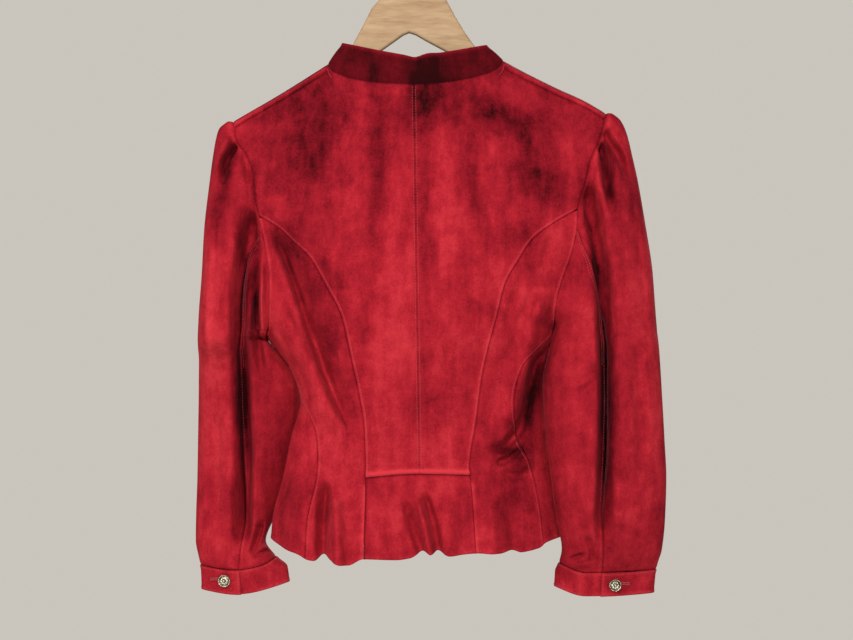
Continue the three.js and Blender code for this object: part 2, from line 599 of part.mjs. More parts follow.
/** Heights down an armhole from the shoulder ridge to the armpit, shared by all its pieces. */
function armholeHeights(side) {
  const tip = shoulderTop(ARMHOLE[side][0].x) - RIDGE_EDGE;
  const above = steps(tip, PRINCESS_START[side], ARMHOLE_STEPS.above, 2.1);
  const below = steps(PRINCESS_START[side], ARMPIT[side] + ARMPIT_STEP, ARMHOLE_STEPS.below - 1);
  return [...above, ...below.slice(1), ARMPIT[side]];
}

/** A point of the neck seam at a turn from the side (0) to the centre (a quarter turn). */
function neckPoint(turn, sign, face) {
  const x = NECK.x + sign * NECK.halfWidth * Math.cos(turn);
  const drop = face === 'back' ? NECK.backDrop : NECK.frontDrop;
  const z = NECK.z + NECK.tilt * x - drop * Math.sin(turn);
  return [x, Math.min(z, shoulderTop(x) - RIDGE_EDGE)];
}

/** The turn of the neck seam at a given x. */
const turnAt = (x, sign) => Math.acos((sign * (x - NECK.x)) / NECK.halfWidth);

/** Turns along a quarter of the neck seam, from the side to the centre. */
function neckTurns(sign, face) {
  const centreX = face === 'back' ? centreBack(NECK_CENTRE) : NECK.x;
  return steps(0, turnAt(centreX, sign), NECK_STEPS[face], NECK_EASE[face]);
}

/** The top edge of a panel: along the shoulder, then round the neck; a front passes the centre. */
function shoulderAndNeck(side, sign, face) {
  const neckX = neckPoint(0, sign, face)[0];
  const shoulder = steps(ARMHOLE[side][0].x, neckX, SHOULDER_STEPS).map((x) => [x, shoulderTop(x) - RIDGE_EDGE]);
  const past = face === 'front' ? [turnAt(-FRONT_LAP * sign, sign)] : [];
  const neck = [...neckTurns(sign, face), ...past].map((turn) => neckPoint(turn, sign, face));
  return [...shoulder, ...neck.slice(1)].map(([x, z]) => [torsoAngle(x, z, face), z]);
}

/** The side seam's x, on the back. */
function sideSeam(side, sign) {
  const inset = curveOf(SIDE_SEAM[side], 'z', 'inset');
  return (z) => torso[side](z) - sign * inset(z);
}

// ---------- Torso ----------
const HEM_AT = { left: hem.back(-63), right: hem.back(68) };
const waistCentre = centreBack(-643);

/** An edge of a panel: x as a function of z on one face, and the rows' heights. */
function sideEdge(xOf, face, heights) {
  return { angle: (z) => torsoAngle(xOf(z), z, face), heights };
}

/** A list of [x, z] on one face as [angle, z]. */
const onFace = (face) => ([x, z]) => [torsoAngle(x, z, face), z];

/** Points along a seam that gives z as a function of x. */
function crossEdge(zOf, face, startX, endX, count) {
  return steps(startX, endX, count).map((x) => onFace(face)([x, zOf(x)]));
}

/** The heights of a side's rows: the armhole's, then armpit to waist, then waist to hem. */
function rowHeights(side, hemZ) {
  const waistZ = waist(side === 'left' ? -61 : 60);
  return {
    armhole: armholeHeights(side),
    waist: steps(ARMPIT[side], waistZ, WAIST_STEPS),
    hem: steps(waistZ, hemZ, PEPLUM_STEPS),
  };
}

/** Points of the waist seam from a princess seam to the centre back. */
function waistEdge(side) {
  const start = princess[side](rowHeights(side, 0).waist.at(-1));
  return crossEdge(waist, 'back', start, waistCentre, SHOULDER_STEPS + NECK_STEPS.back);
}

for (const [side, sign] of SIDES) {
  const seam = sideSeam(side, sign);
  const hemAtSeam = hem.back(seam(-738));
  const down = rowHeights(side, HEM_AT[side]);
  const start = PRINCESS_START[side];
  const backEdge = (z) => (z > start ? armhole[side](z) : princess[side](z));
  const backHeights = [...down.armhole, ...down.waist.slice(1)];
  const centreTop = neckPoint(turnAt(centreBack(NECK_CENTRE), sign), sign, 'back')[1];
  const share = (z) => (backHeights[0] - z) / (backHeights[0] - backHeights.at(-1));
  addPiece(`back_${side}`, panelGeometry(torsoPoint, {
    left: sideEdge(backEdge, 'back', backHeights),
    right: sideEdge(centreBack, 'back', backHeights.map((z) => mix(centreTop, waist(waistCentre), share(z)))),
    top: shoulderAndNeck(side, sign, 'back'),
    bottom: waistEdge(side),
  }), SUEDE);

  // A side back starts as a point between the princess seam and the armhole.
  const pointZ = mix(start, down.armhole[ARMHOLE_STEPS.above + 1], 0.2);
  const belowStart = [pointZ, ...down.armhole.slice(ARMHOLE_STEPS.above + 1), ...down.waist.slice(1)];
  const outerEdge = (z) => (z > ARMPIT[side] ? armhole[side](z) : seam(z));
  addPiece(`side_back_${side}`, panelGeometry(torsoPoint, {
    left: sideEdge(princess[side], 'back', [...belowStart, ...down.hem.slice(1)]),
    right: sideEdge(outerEdge, 'back', [...belowStart, ...rowHeights(side, hemAtSeam).hem.slice(1)]),
    top: crossEdge(() => pointZ, 'back', princess[side](pointZ), armhole[side](pointZ), SIDE_COLUMNS),
    bottom: crossEdge(hem.back, 'back', princess[side](HEM_AT[side]), seam(hemAtSeam), SIDE_COLUMNS),
  }), SUEDE);

  // A front runs from the armhole and the side seam, round the side, to the centre front.
  const turned = sign > 0 ? 2 * Math.PI : 0;
  const edgeX = -FRONT_LAP * sign;
  const wrapped = {
    angle: (z) => (z > ARMPIT[side]
      ? torsoAngle(armhole[side](z), z, 'front')
      : torsoAngle(seam(z), z, 'back') + turned),
    heights: [...backHeights, ...rowHeights(side, hemAtSeam).hem.slice(1)],
  };
  const frontTop = neckPoint(turnAt(edgeX, sign), sign, 'front')[1];
  const fall = (z) => (backHeights[0] - z) / (backHeights[0] - hemAtSeam);
  const roundColumns = 2;
  const turnX = torso[side](-720) - sign;
  const hemRound = crossEdge(hem.back, 'back', seam(hemAtSeam), turnX, roundColumns)
    .map(([angle, z]) => [angle + turned, z]);
  const columns = SHOULDER_STEPS + NECK_STEPS.front + 1 - roundColumns;
  const lapped = (point) => (side === 'left' ? LAP_STEP * smooth((point.x + 75) / 30) : 0);
  addPiece(`front_${side}`, panelGeometry(torsoPoint, {
    left: wrapped,
    right: sideEdge(() => edgeX, 'front', wrapped.heights.map((z) => mix(frontTop, hem.front(edgeX), fall(z)))),
    top: shoulderAndNeck(side, sign, 'front'),
    bottom: [...hemRound, ...crossEdge(hem.front, 'front', turnX, edgeX, columns).slice(1)],
  }, lapped), SUEDE);
}

// The peplum hangs from the waist seam between the two slits.
{
  const top = [...waistEdge('left'), ...waistEdge('right').reverse().slice(1)];
  const [left, right] = SIDES.map(([side]) => sideEdge(
    princess[side],
    'back',
    rowHeights(side, HEM_AT[side]).hem,
  ));
  const [startX, endX] = SIDES.map(([side]) => princess[side](HEM_AT[side]));
  addPiece('peplum_back', panelGeometry(torsoPoint, {
    left, right, top, bottom: crossEdge(hem.back, 'back', startX, endX, top.length - 1),
  }), SUEDE);
}

// ---------- Sleeves and cuffs ----------
const NOTCH = ARMHOLE_STEPS.above + 1;   // the sleeve seams meet the armhole at this height

for (const [side, sign] of SIDES) {
  const surface = (angle, z) => sleevePoint(side, angle, z);
  const heights = armholeHeights(side);
  const standOff = (z) => SEAM_GAP + UNDERARM_GAP * smooth((ARMPIT[side] + 50 - z) / 25);
  const edgeX = (z) => armhole[side](z) + sign * standOff(z);
  const onArmhole = (z, face) => [sleeveAngle(side, edgeX(z), z, face), z];
  const cuffZ = (angle) => CUFF[side].top + cuffRise[side](sleeveSection(side, angle, CUFF[side].top).x);

  // Below the notches the back seam follows its table; the front one settles near the arm.
  const foreX = (z) => mix(
    edgeX(heights[NOTCH]),
    mix(sleeve[side].inner(z), sleeve[side].outer(z), FORE_SHARE),
    smooth((heights[NOTCH] - z) / 90),
  );
  const hindX = (z) => mix(edgeX(heights[NOTCH]), hindSeam[side](z), smooth((heights[NOTCH] - z) / 12));
  const hindAngle = (z) => sleeveAngle(side, z > heights[NOTCH] ? edgeX(z) : hindX(z), z, 'back');
  const foreAngle = (z) => sleeveAngle(side, z > heights[NOTCH] ? edgeX(z) : foreX(z), z, 'front');
  const unwound = (z) => foreAngle(z) - 2 * Math.PI;
  const [hindHeights, foreHeights] = [hindAngle, foreAngle]
    .map((angle) => steps(heights[NOTCH], cuffZ(angle(CUFF[side].top)), SLEEVE_STEPS.down));
  const capHeights = heights.slice(1, NOTCH);
  const bottomEdge = (from, to, count) => steps(from, to, count).map((angle) => [angle, cuffZ(angle)]);
  const [hindEnd, foreEnd] = [hindHeights.at(-1), foreHeights.at(-1)];
  addPiece(`sleeve_upper_${side}`, panelGeometry(surface, {
    left: { angle: hindAngle, heights: [...capHeights, ...hindHeights] },
    right: { angle: unwound, heights: [...capHeights, ...foreHeights] },
    top: steps(hindAngle(heights[1]), unwound(heights[1]), SLEEVE_STEPS.across)
      .map((angle) => [angle, heights[1]]),
    bottom: bottomEdge(hindAngle(hindEnd), unwound(foreEnd), SLEEVE_STEPS.across),
  }), SUEDE);

  // The under sleeve's top edge goes down the back armhole, under the arm and up the front.
  const downBack = heights.slice(NOTCH).map((z) => onArmhole(z, 'back'));
  const upFront = heights.slice(NOTCH, -1).reverse().map((z) => onArmhole(z, 'front'));
  const underTop = [...downBack, ...upFront];
  addPiece(`sleeve_under_${side}`, panelGeometry(surface, {
    left: { angle: hindAngle, heights: hindHeights },
    right: { angle: foreAngle, heights: foreHeights },
    top: underTop,
    bottom: bottomEdge(hindAngle(hindEnd), foreAngle(foreEnd), underTop.length - 1),
  }), SUEDE);

  // A cuff is a band that starts at the slit, goes round the wrist and ends under itself.
  const slit = sleeveAngle(side, hindSeam[side](CUFF[side].top), CUFF[side].top, 'back');
  const halfWidth = Math.abs(sleeve[side].outer(-770) - sleeve[side].inner(-770)) / 2;
  const lapTurn = CUFF_LAP / halfWidth;
  const settle = 0.9;
  const outer = [];
  const inward = [];
  for (let j = 0; j <= CUFF_STEPS.down; j += 1) {
    for (let i = 0; i <= CUFF_STEPS.across; i += 1) {
      const fromStart = (i / CUFF_STEPS.across) * (2 * Math.PI + lapTurn);
      const toLap = 2 * Math.PI - fromStart;
      const turn = THREE.MathUtils.euclideanModulo(slit - fromStart, 2 * Math.PI);
      const rise = cuffZ(turn) - CUFF[side].top;
      const z = mix(CUFF[side].top - SEAM_GAP, CUFF[side].bottom, j / CUFF_STEPS.down) + rise;
      const normal = outwardNormal(surface, turn, z);
      const step = (LAP_STEP / 2) * (smooth(1 - fromStart / settle) - smooth(1 - toLap / settle));
      outer.push(surface(turn, z).addScaledVector(normal, step));
      inward.push(normal.clone().negate());
    }
  }
  addPiece(`cuff_${side}`, wallGeometry(outer, inward, CUFF_STEPS.across, CUFF_STEPS.down), SUEDE);
}

// ---------- Collar: a stand from one front edge round the neck to the other ----------
{
  const opening = 0.02;
  const quarter = (sign, face) => neckTurns(sign, face).map((turn) => ({ turn, sign, face }));
  const centre = { sign: -1, face: 'front', turn: Math.PI / 2 - opening };
  const turns = [
    centre,
    ...quarter(-1, 'front').reverse().slice(1),
    ...quarter(-1, 'back').slice(1),
    ...quarter(1, 'back').reverse().slice(1),
    ...quarter(1, 'front').slice(1, -1),
    { ...centre, sign: 1 },
  ];
  const outer = [];
  const inward = [];
  for (let j = 0; j <= COLLAR_ROWS; j += 1) {
    for (const { turn, sign, face } of turns) {
      const [x, z] = neckPoint(turn, sign, face);
      const seam = torsoPoint(torsoAngle(x, z, face), z);
      const drop = face === 'back' ? COLLAR_TOP.backDrop : COLLAR_TOP.frontDrop;
      const depth = face === 'back' ? -COLLAR_TOP.back : COLLAR_TOP.front;
      const topX = COLLAR_TOP.x + sign * COLLAR_TOP.halfWidth * Math.cos(turn);
      const bend = face === 'back' ? COLLAR_TOP.straightness : 0;
      const dip = mix(Math.sin(turn), 1 - Math.cos(turn) ** 1.1, bend);
      const topZ = COLLAR_TOP.z + COLLAR_TOP.tilt * topX - drop * dip;
      const top = new THREE.Vector3(topX, depth * Math.sin(turn), topZ);
      outer.push(seam.clone().lerp(top, mix((2 * SEAM_GAP) / COLLAR_HEIGHT, 1, j / COLLAR_ROWS)));
      const outwardY = (face === 'back' ? -1 : 1) * Math.sin(turn);
      const outward = new THREE.Vector3(0.6 * sign * Math.cos(turn), outwardY, 0.15);
      inward.push(outward.normalize().negate());
    }
  }
  addPiece('collar', wallGeometry(outer, inward, turns.length - 1, COLLAR_ROWS), SUEDE);
}

// ---------- Buttons ----------
/** A domed button with a raised rim and centre, turned about +Y. */
function buttonGeometry() {
  const profile = [
    [0, 0], [0.86, 0], [1, 0.25], [0.86, 0.56], [0.76, 0.46], [0.3, 0.8], [0.22, 1], [0, 1],
  ].map(([radius, height]) => new THREE.Vector2(radius * BUTTON_RADIUS, height * BUTTON_HEIGHT));
  return new THREE.LatheGeometry(profile, 10);
}

/** Puts a button on a point of the cloth, its face along the cloth's normal. */
function addButton(name, point, normal) {
  const mesh = addPiece(name, buttonGeometry(), OLD_METAL);
  mesh.quaternion.setFromUnitVectors(new THREE.Vector3(0, 1, 0), normal);
  mesh.position.copy(point).addScaledVector(normal, SEAM_GAP);
}

for (const [side] of SIDES) {
  const surface = (angle, z) => sleevePoint(side, angle, z);
  const { x, z } = CUFF_BUTTON[side];
  const angle = sleeveAngle(side, x, z, 'back');
  const normal = outwardNormal(surface, angle, z);
  addButton(`cuff_button_${side}`, surface(angle, z).addScaledVector(normal, LAP_STEP / 2 + 0.4), normal);
}
for (let i = 0; i < FRONT_BUTTONS; i += 1) {
  const z = mix(FRONT_BUTTON_ROW.top, FRONT_BUTTON_ROW.bottom, i / (FRONT_BUTTONS - 1));
  const angle = torsoAngle(0, z, 'front');
  const normal = outwardNormal(torsoPoint, angle, z);
  addButton(`front_button_${i + 1}`, torsoPoint(angle, z).addScaledVector(normal, 0.4), normal);
}

// ---------- Hanger ----------
{
  const clear = WALL + 2.1;
  const edgeRound = 3;
  const armTop = (x) => [x, shoulderTop(x) - clear];
  const leftTop = [-206, -190, -160, -136].map(armTop);
  const rightTop = [132, 160, 190, 208].map(armTop);
  const neckLeft = [[-118, -171], [-104, -167], [-92, -156], [-81, -139], [-76, -128],
    [-68.5, -114.6], [-55, -88], [-40, -72], [-18, HANGER_TOP]];
  const neckRight = [[16, HANGER_TOP], [30, -72], [44, -98], [56, -118], [66, -132],
    [76, -145], [88, -158], [100, -166], [113, -169]];
  const under = [[204, -226], [150, -204], [100, -182], [40.5, -144.5], [8, -127], [-3, -120.5],
    [-11, -118], [-18, -121], [-46, -141], [-100, -185], [-150, -212], [-202, -240]];
  const outline = [...leftTop, ...neckLeft, ...neckRight, ...rightTop, ...under];
  const shape = new THREE.Shape(outline.map(([x, z]) => new THREE.Vector2(x, z)));
  const geometry = new THREE.ExtrudeGeometry(shape, {
    depth: HANGER_THICKNESS - 2 * edgeRound,
    bevelThickness: edgeRound,
    bevelSize: edgeRound,
    bevelOffset: -edgeRound,
    bevelSegments: 2,
  });
  geometry.rotateX(Math.PI / 2);
  geometry.translate(0, HANGER_THICKNESS / 2 - edgeRound, 0);
  addPiece('hanger_body', geometry, WOOD);

  const centre = -HOOK_RADIUS + HOOK_WIRE_RADIUS;
  const path = [new THREE.Vector3(0, 0, HANGER_TOP + SEAM_GAP), new THREE.Vector3(0, 0, HANGER_TOP + 8)];
  for (let k = 0; k <= 12; k += 1) {
    const turn = mix(-1.15, 3.5, k / 12);
    path.push(new THREE.Vector3(HOOK_RADIUS * Math.cos(turn), 0, centre + HOOK_RADIUS * Math.sin(turn)));
  }
  const section = new THREE.Shape();
  section.absarc(0, 0, HOOK_WIRE_RADIUS, 0, 2 * Math.PI);
  const wire = new THREE.ExtrudeGeometry(section, {
    steps: 32, curveSegments: 4, bevelEnabled: false,
    extrudePath: new THREE.CatmullRomCurve3(path),
  });
  addPiece('hanger_hook', wire, STEEL);
}

export default group;
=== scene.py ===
import math

import bmesh
import bpy
import numpy as np
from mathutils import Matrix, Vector


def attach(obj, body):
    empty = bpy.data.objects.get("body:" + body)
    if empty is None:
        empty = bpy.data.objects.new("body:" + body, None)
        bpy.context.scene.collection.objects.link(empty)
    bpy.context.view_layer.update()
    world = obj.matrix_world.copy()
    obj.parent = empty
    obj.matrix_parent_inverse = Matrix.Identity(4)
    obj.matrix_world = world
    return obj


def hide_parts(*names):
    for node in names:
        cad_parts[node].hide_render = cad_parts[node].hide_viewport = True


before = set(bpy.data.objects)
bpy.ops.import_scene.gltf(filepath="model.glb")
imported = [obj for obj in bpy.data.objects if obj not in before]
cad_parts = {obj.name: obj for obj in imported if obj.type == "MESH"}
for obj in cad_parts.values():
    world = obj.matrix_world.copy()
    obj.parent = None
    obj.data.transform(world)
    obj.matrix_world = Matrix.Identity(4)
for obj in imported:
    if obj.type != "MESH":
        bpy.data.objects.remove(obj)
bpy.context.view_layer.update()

# ---------- Sizes ----------
WALL = 1.4                            # thickness of the cloth
CELL = 2.2     # spacing of the cloth's grid
SEAM_SLACK = 0.01                     # each cut edge is drawn back by this
COLLAR_WALL = 1.6
CUFF_LAP = 22.0                       # the cuff's ends lap by this
FRONT_LAP = 12.0                      # each front passes the centre by this
LAP_STEP = 3.2                        # the lower front lies this far below the upper one
TUCK = 2.2                            # a sleeve passes under the armhole's edge by this
RIDGE = 9.0                           # the shoulder's edge is rounded over this height
ROOF_SPREAD = 46.0                    # and below that the depth grows over this height
SECTION_POWER = 2.4                   # how square a section of the torso is; 2 is an ellipse
SLEEVE_POWER = 2.3
CAP_BLEND = 42.0                      # a sleeve meets the torso's depth over this width
FOLD_FADE = 0.35                      # sine of the angle over which folds start at a side
SEAM_FADE = 9.0                       # a sleeve's folds start this far from the armhole
FORE_SHARE = 0.3                      # place of the fore seam across a sleeve's front
ARMPIT = {"left": -483.0, "right": -474.0}
PRINCESS_START = {"left": -339.0, "right": -331.0}
NOTCH_SHARE = 0.125                   # of the armhole below the princess seam's start
CAP_TOP = 1.5                         # the sleeve's head starts this far below the shoulder
RIDGE_GAP = 0.002                     # an edge on the shoulder stays this far below its ridge
NECK_SEAM_Z = -187.0                  # the neck seam at the centre back
HEM_LEVEL = -738.0                    # the hem near the side seams
CUFF_MIDDLE = -770.0
FRONT_TURN_Z = -720.0                 # where the front's hem turns round to the back
TURN_STEP = 0.02                      # radians between the points that give a normal
# Widths that set how many columns a grid has.
GRID_WIDTH = {
    "back": 205, "side_back": 112, "front": 255, "peplum": 130, "upper": 150, "under": 130,
    "cuff": 250, "collar": 110,
}
BAND_HEIGHT = 28                      # of the cuffs and the collar, which have double rows
BUTTON = {"radius": 7.8, "height": 4.2, "sunk": 0.3, "clear": 0.4}
BUTTONHOLE = {"start": 7.2, "end": 17.5, "stitches": 21, "half": 1.0, "lean": 0.05, "reach": 0.8}
BUTTONHOLE_RISE = {"left": 2.2, "right": 2.0}
SIGN = {"left": -1.0, "right": 1.0}
FACES = ("back", "front")
STITCH = {"pitch": 3.4, "length": 2.5, "width": 0.62, "height": 0.42}

# ---------- Tables of the cloth's form ----------
# z, left, right, back, front, left end's y, right end's y
TORSO = np.array([
    (-120, -262, 262, 24, 22, 0, 0), (-187, -262, 262, 34, 30, 0, 0),
    (-260, -250, 250, 46, 42, 0, 0), (-340, -228, 228, 54, 58, 0, 0),
    (-410, -209, 203, 58, 67, 0, 0), (-445, -197, 187, 58, 67, 0, 0),
    (-474, -185.5, 161, 57.5, 65, 0, 0), (-483, -181, 162, 57, 64, 0, 1),
    (-500, -167, 158, 55.7, 61.8, -2.6, 6),
    (-520, -152, 155.5, 54, 59, -6, 11), (-558, -140, 154, 51, 54, -11, 15),
    (-600, -151, 157, 49, 51, -13, 17), (-643, -160, 163, 50, 52, -14, 17),
    (-700, -174, 172, 62, 62, -14, 14), (-750, -177, 178, 73, 70, -14, 12),
], float)
# x, z
SHOULDER = np.array([
    (-240, -235), (-204, -214), (-167, -192.5), (-112, -158), (-60, -124), (0, -100),
    (60, -124), (103, -152), (163, -183), (200, -200), (240, -224),
], float)
# z, x
ARMHOLE = {
    "left": np.array([
        (-224, -221), (-249, -216), (-263, -205), (-290, -195), (-318, -192), (-339, -187.5),
        (-373, -180), (-410, -175), (-441, -175), (-470, -176), (-483, -181)], float),
    "right": np.array([
        (-214, 224), (-233, 220), (-249, 214.5), (-272, 204), (-296, 198), (-331, 188),
        (-355, 186.5), (-382, 181), (-409, 171.5), (-433, 164), (-456, 161), (-474, 161)], float),
}
PRINCESS = {
    "left": np.array([
        (-339, -187.5), (-355, -162), (-371, -145), (-388, -127), (-418, -109), (-460, -88),
        (-509, -77), (-551, -68), (-587, -62.5), (-641, -61), (-738, -63)], float),
    "right": np.array([
        (-331, 188), (-348, 159), (-367, 134), (-392, 117), (-418, 102), (-460, 91),
        (-498, 81), (-533, 74), (-580, 68), (-637, 60), (-662, 63), (-738, 68)], float),
}
CENTRE_BACK = np.array([(-187, -5), (-445, -1), (-643, 2)], float)
# z, inset of the side seam from the section's end
SIDE_SEAM = {
    "left": np.array([
        (-483, 0), (-552, 1), (-572, 14), (-600, 33), (-650, 43), (-700, 45), (-745, 46)], float),
    "right": np.array([
        (-474, 0), (-492, 16), (-520, 35), (-556, 42), (-600, 41), (-632, 29.5), (-670, 26),
        (-740, 28)], float),
}
# x, z
WAIST = np.array([(-62, -646.5), (-5, -642.5), (62, -644.5)], float)
HEM_BACK = np.array([
    (-178, -717), (-169, -722), (-155, -728), (-141, -733), (-128, -740), (-120, -741),
    (-110, -735), (-94, -743), (-81, -745), (-63, -738), (-25, -739), (-9, -737), (7, -730),
    (15, -732.5), (23, -730), (36, -735), (66, -733), (96, -734), (110, -731.5), (120, -734),
    (142, -731), (152, -725), (165, -722), (180, -720)], float)
HEM_FRONT = np.array([
    (-178, -717), (-150, -727), (-120, -734), (-92, -730), (-62, -739), (-30, -736), (0, -742),
    (30, -736), (62, -739), (92, -731), (120, -735), (150, -728), (180, -720)], float)
NECK = {"x": -3, "half": 104.6, "z": -153, "tilt": 0.019, "back": 30, "front": 76}
COLLAR_TOP = {
    "x": -4.5, "half": 85, "z": -131.5, "tilt": -0.014,
    "drop": {"back": 20, "front": 72}, "y": {"back": -31, "front": 34},
    "bow": {"back": 0.75, "front": 0},
    "waves": ((1.6, 12, 9), (-1.2, -4, 8)),    # height, x, width; only on the back
}
COLLAR_OPENING = 0.02                 # radians left free at the collar's ends
# z, outer, inner, back, front, y of the middle
SLEEVE = {
    "left": np.array([
        (-222, -223, -150, 10, 10, 0), (-227, -232, -150, 14, 14, 0),
        (-234, -239, -150, 18, 18, 0), (-255, -244, -148, 27, 26, 0),
        (-300, -250, -142, 38, 38, 0), (-354, -256, -136, 46, 48, 0),
        (-410, -259, -140, 50, 54, 0), (-450, -262, -158, 50, 54, 0),
        (-470, -263, -171, 49, 53, 0), (-483, -263.5, -182, 48, 52, 0),
        (-494, -264, -174, 47.2, 50, 5), (-510, -264.5, -158.5, 46, 47, 16),
        (-535, -265.5, -143.5, 44, 44, 21), (-558, -266, -141, 42, 41, 23),
        (-600, -267, -147, 39, 38, 25), (-650, -268, -158, 36, 35, 26),
        (-700, -269, -174, 31, 30, 21),
        (-728, -268, -184, 27, 26, 12), (-745, -264, -172, 22, 22, 6),
        (-757, -261, -157, 17, 17, 2), (-790, -259.5, -153, 15, 15, 2)], float),
    "right": np.array([
        (-212, 226, 150, 10, 10, 0), (-216.5, 235, 150, 14, 14, 0),
        (-224, 243, 150, 19, 18, 0), (-240, 250, 148, 27, 26, 0),
        (-265, 256, 146, 34, 32, 0), (-297, 263, 142, 40, 38, 0),
        (-350, 272, 132, 47, 48, 0), (-402, 280, 126, 50, 54, 0),
        (-441, 283, 136, 50, 54, 0), (-461, 284.5, 151, 49, 53, 0),
        (-474, 285.5, 161, 48, 52, 0), (-486, 286, 158, 48, 49, -7),
        (-500, 286.5, 155, 47, 45, -13),
        (-538, 288, 147.5, 44, 41, -20), (-600, 291, 151, 40, 37, -24),
        (-650, 293.5, 157.5, 37, 34, -23), (-700, 292.5, 164, 32, 30, -19),
        (-735, 290, 171, 26, 25, -12), (-751, 286, 168, 21, 21, -8),
        (-761, 284, 163.5, 17, 17, -6), (-792, 281, 162, 15, 15, -6)], float),
}
# z, x
HIND_SEAM = {
    "left": np.array([
        (-353, -186), (-377, -198), (-394, -203), (-427, -208), (-474, -210), (-509, -213.5),
        (-560, -213), (-615, -211), (-700, -209), (-733, -211), (-790, -216)], float),
    "right": np.array([
        (-355, 187), (-376, 194), (-396, 202), (-418, 208), (-439, 214.5), (-462, 218.5),
        (-498, 221), (-560, 221), (-615, 220), (-710, 217), (-792, 218.5)], float),
}
CUFF = {
    "left": {"top": -757.0, "bottom": -786.0,
             "tilt": np.array([(-262, 2), (-218, -3), (-152, 12)], float)},
    "right": {"top": -761.0, "bottom": -789.0,
              "tilt": np.array([(162, 10), (200, -1), (283, 2)], float)},
}
CUFF_BUTTON = {"left": (-230.0, -772.0), "right": (233.0, -775.5)}
FRONT_BUTTONS = {"count": 6, "top": -258.0, "bottom": -640.0}

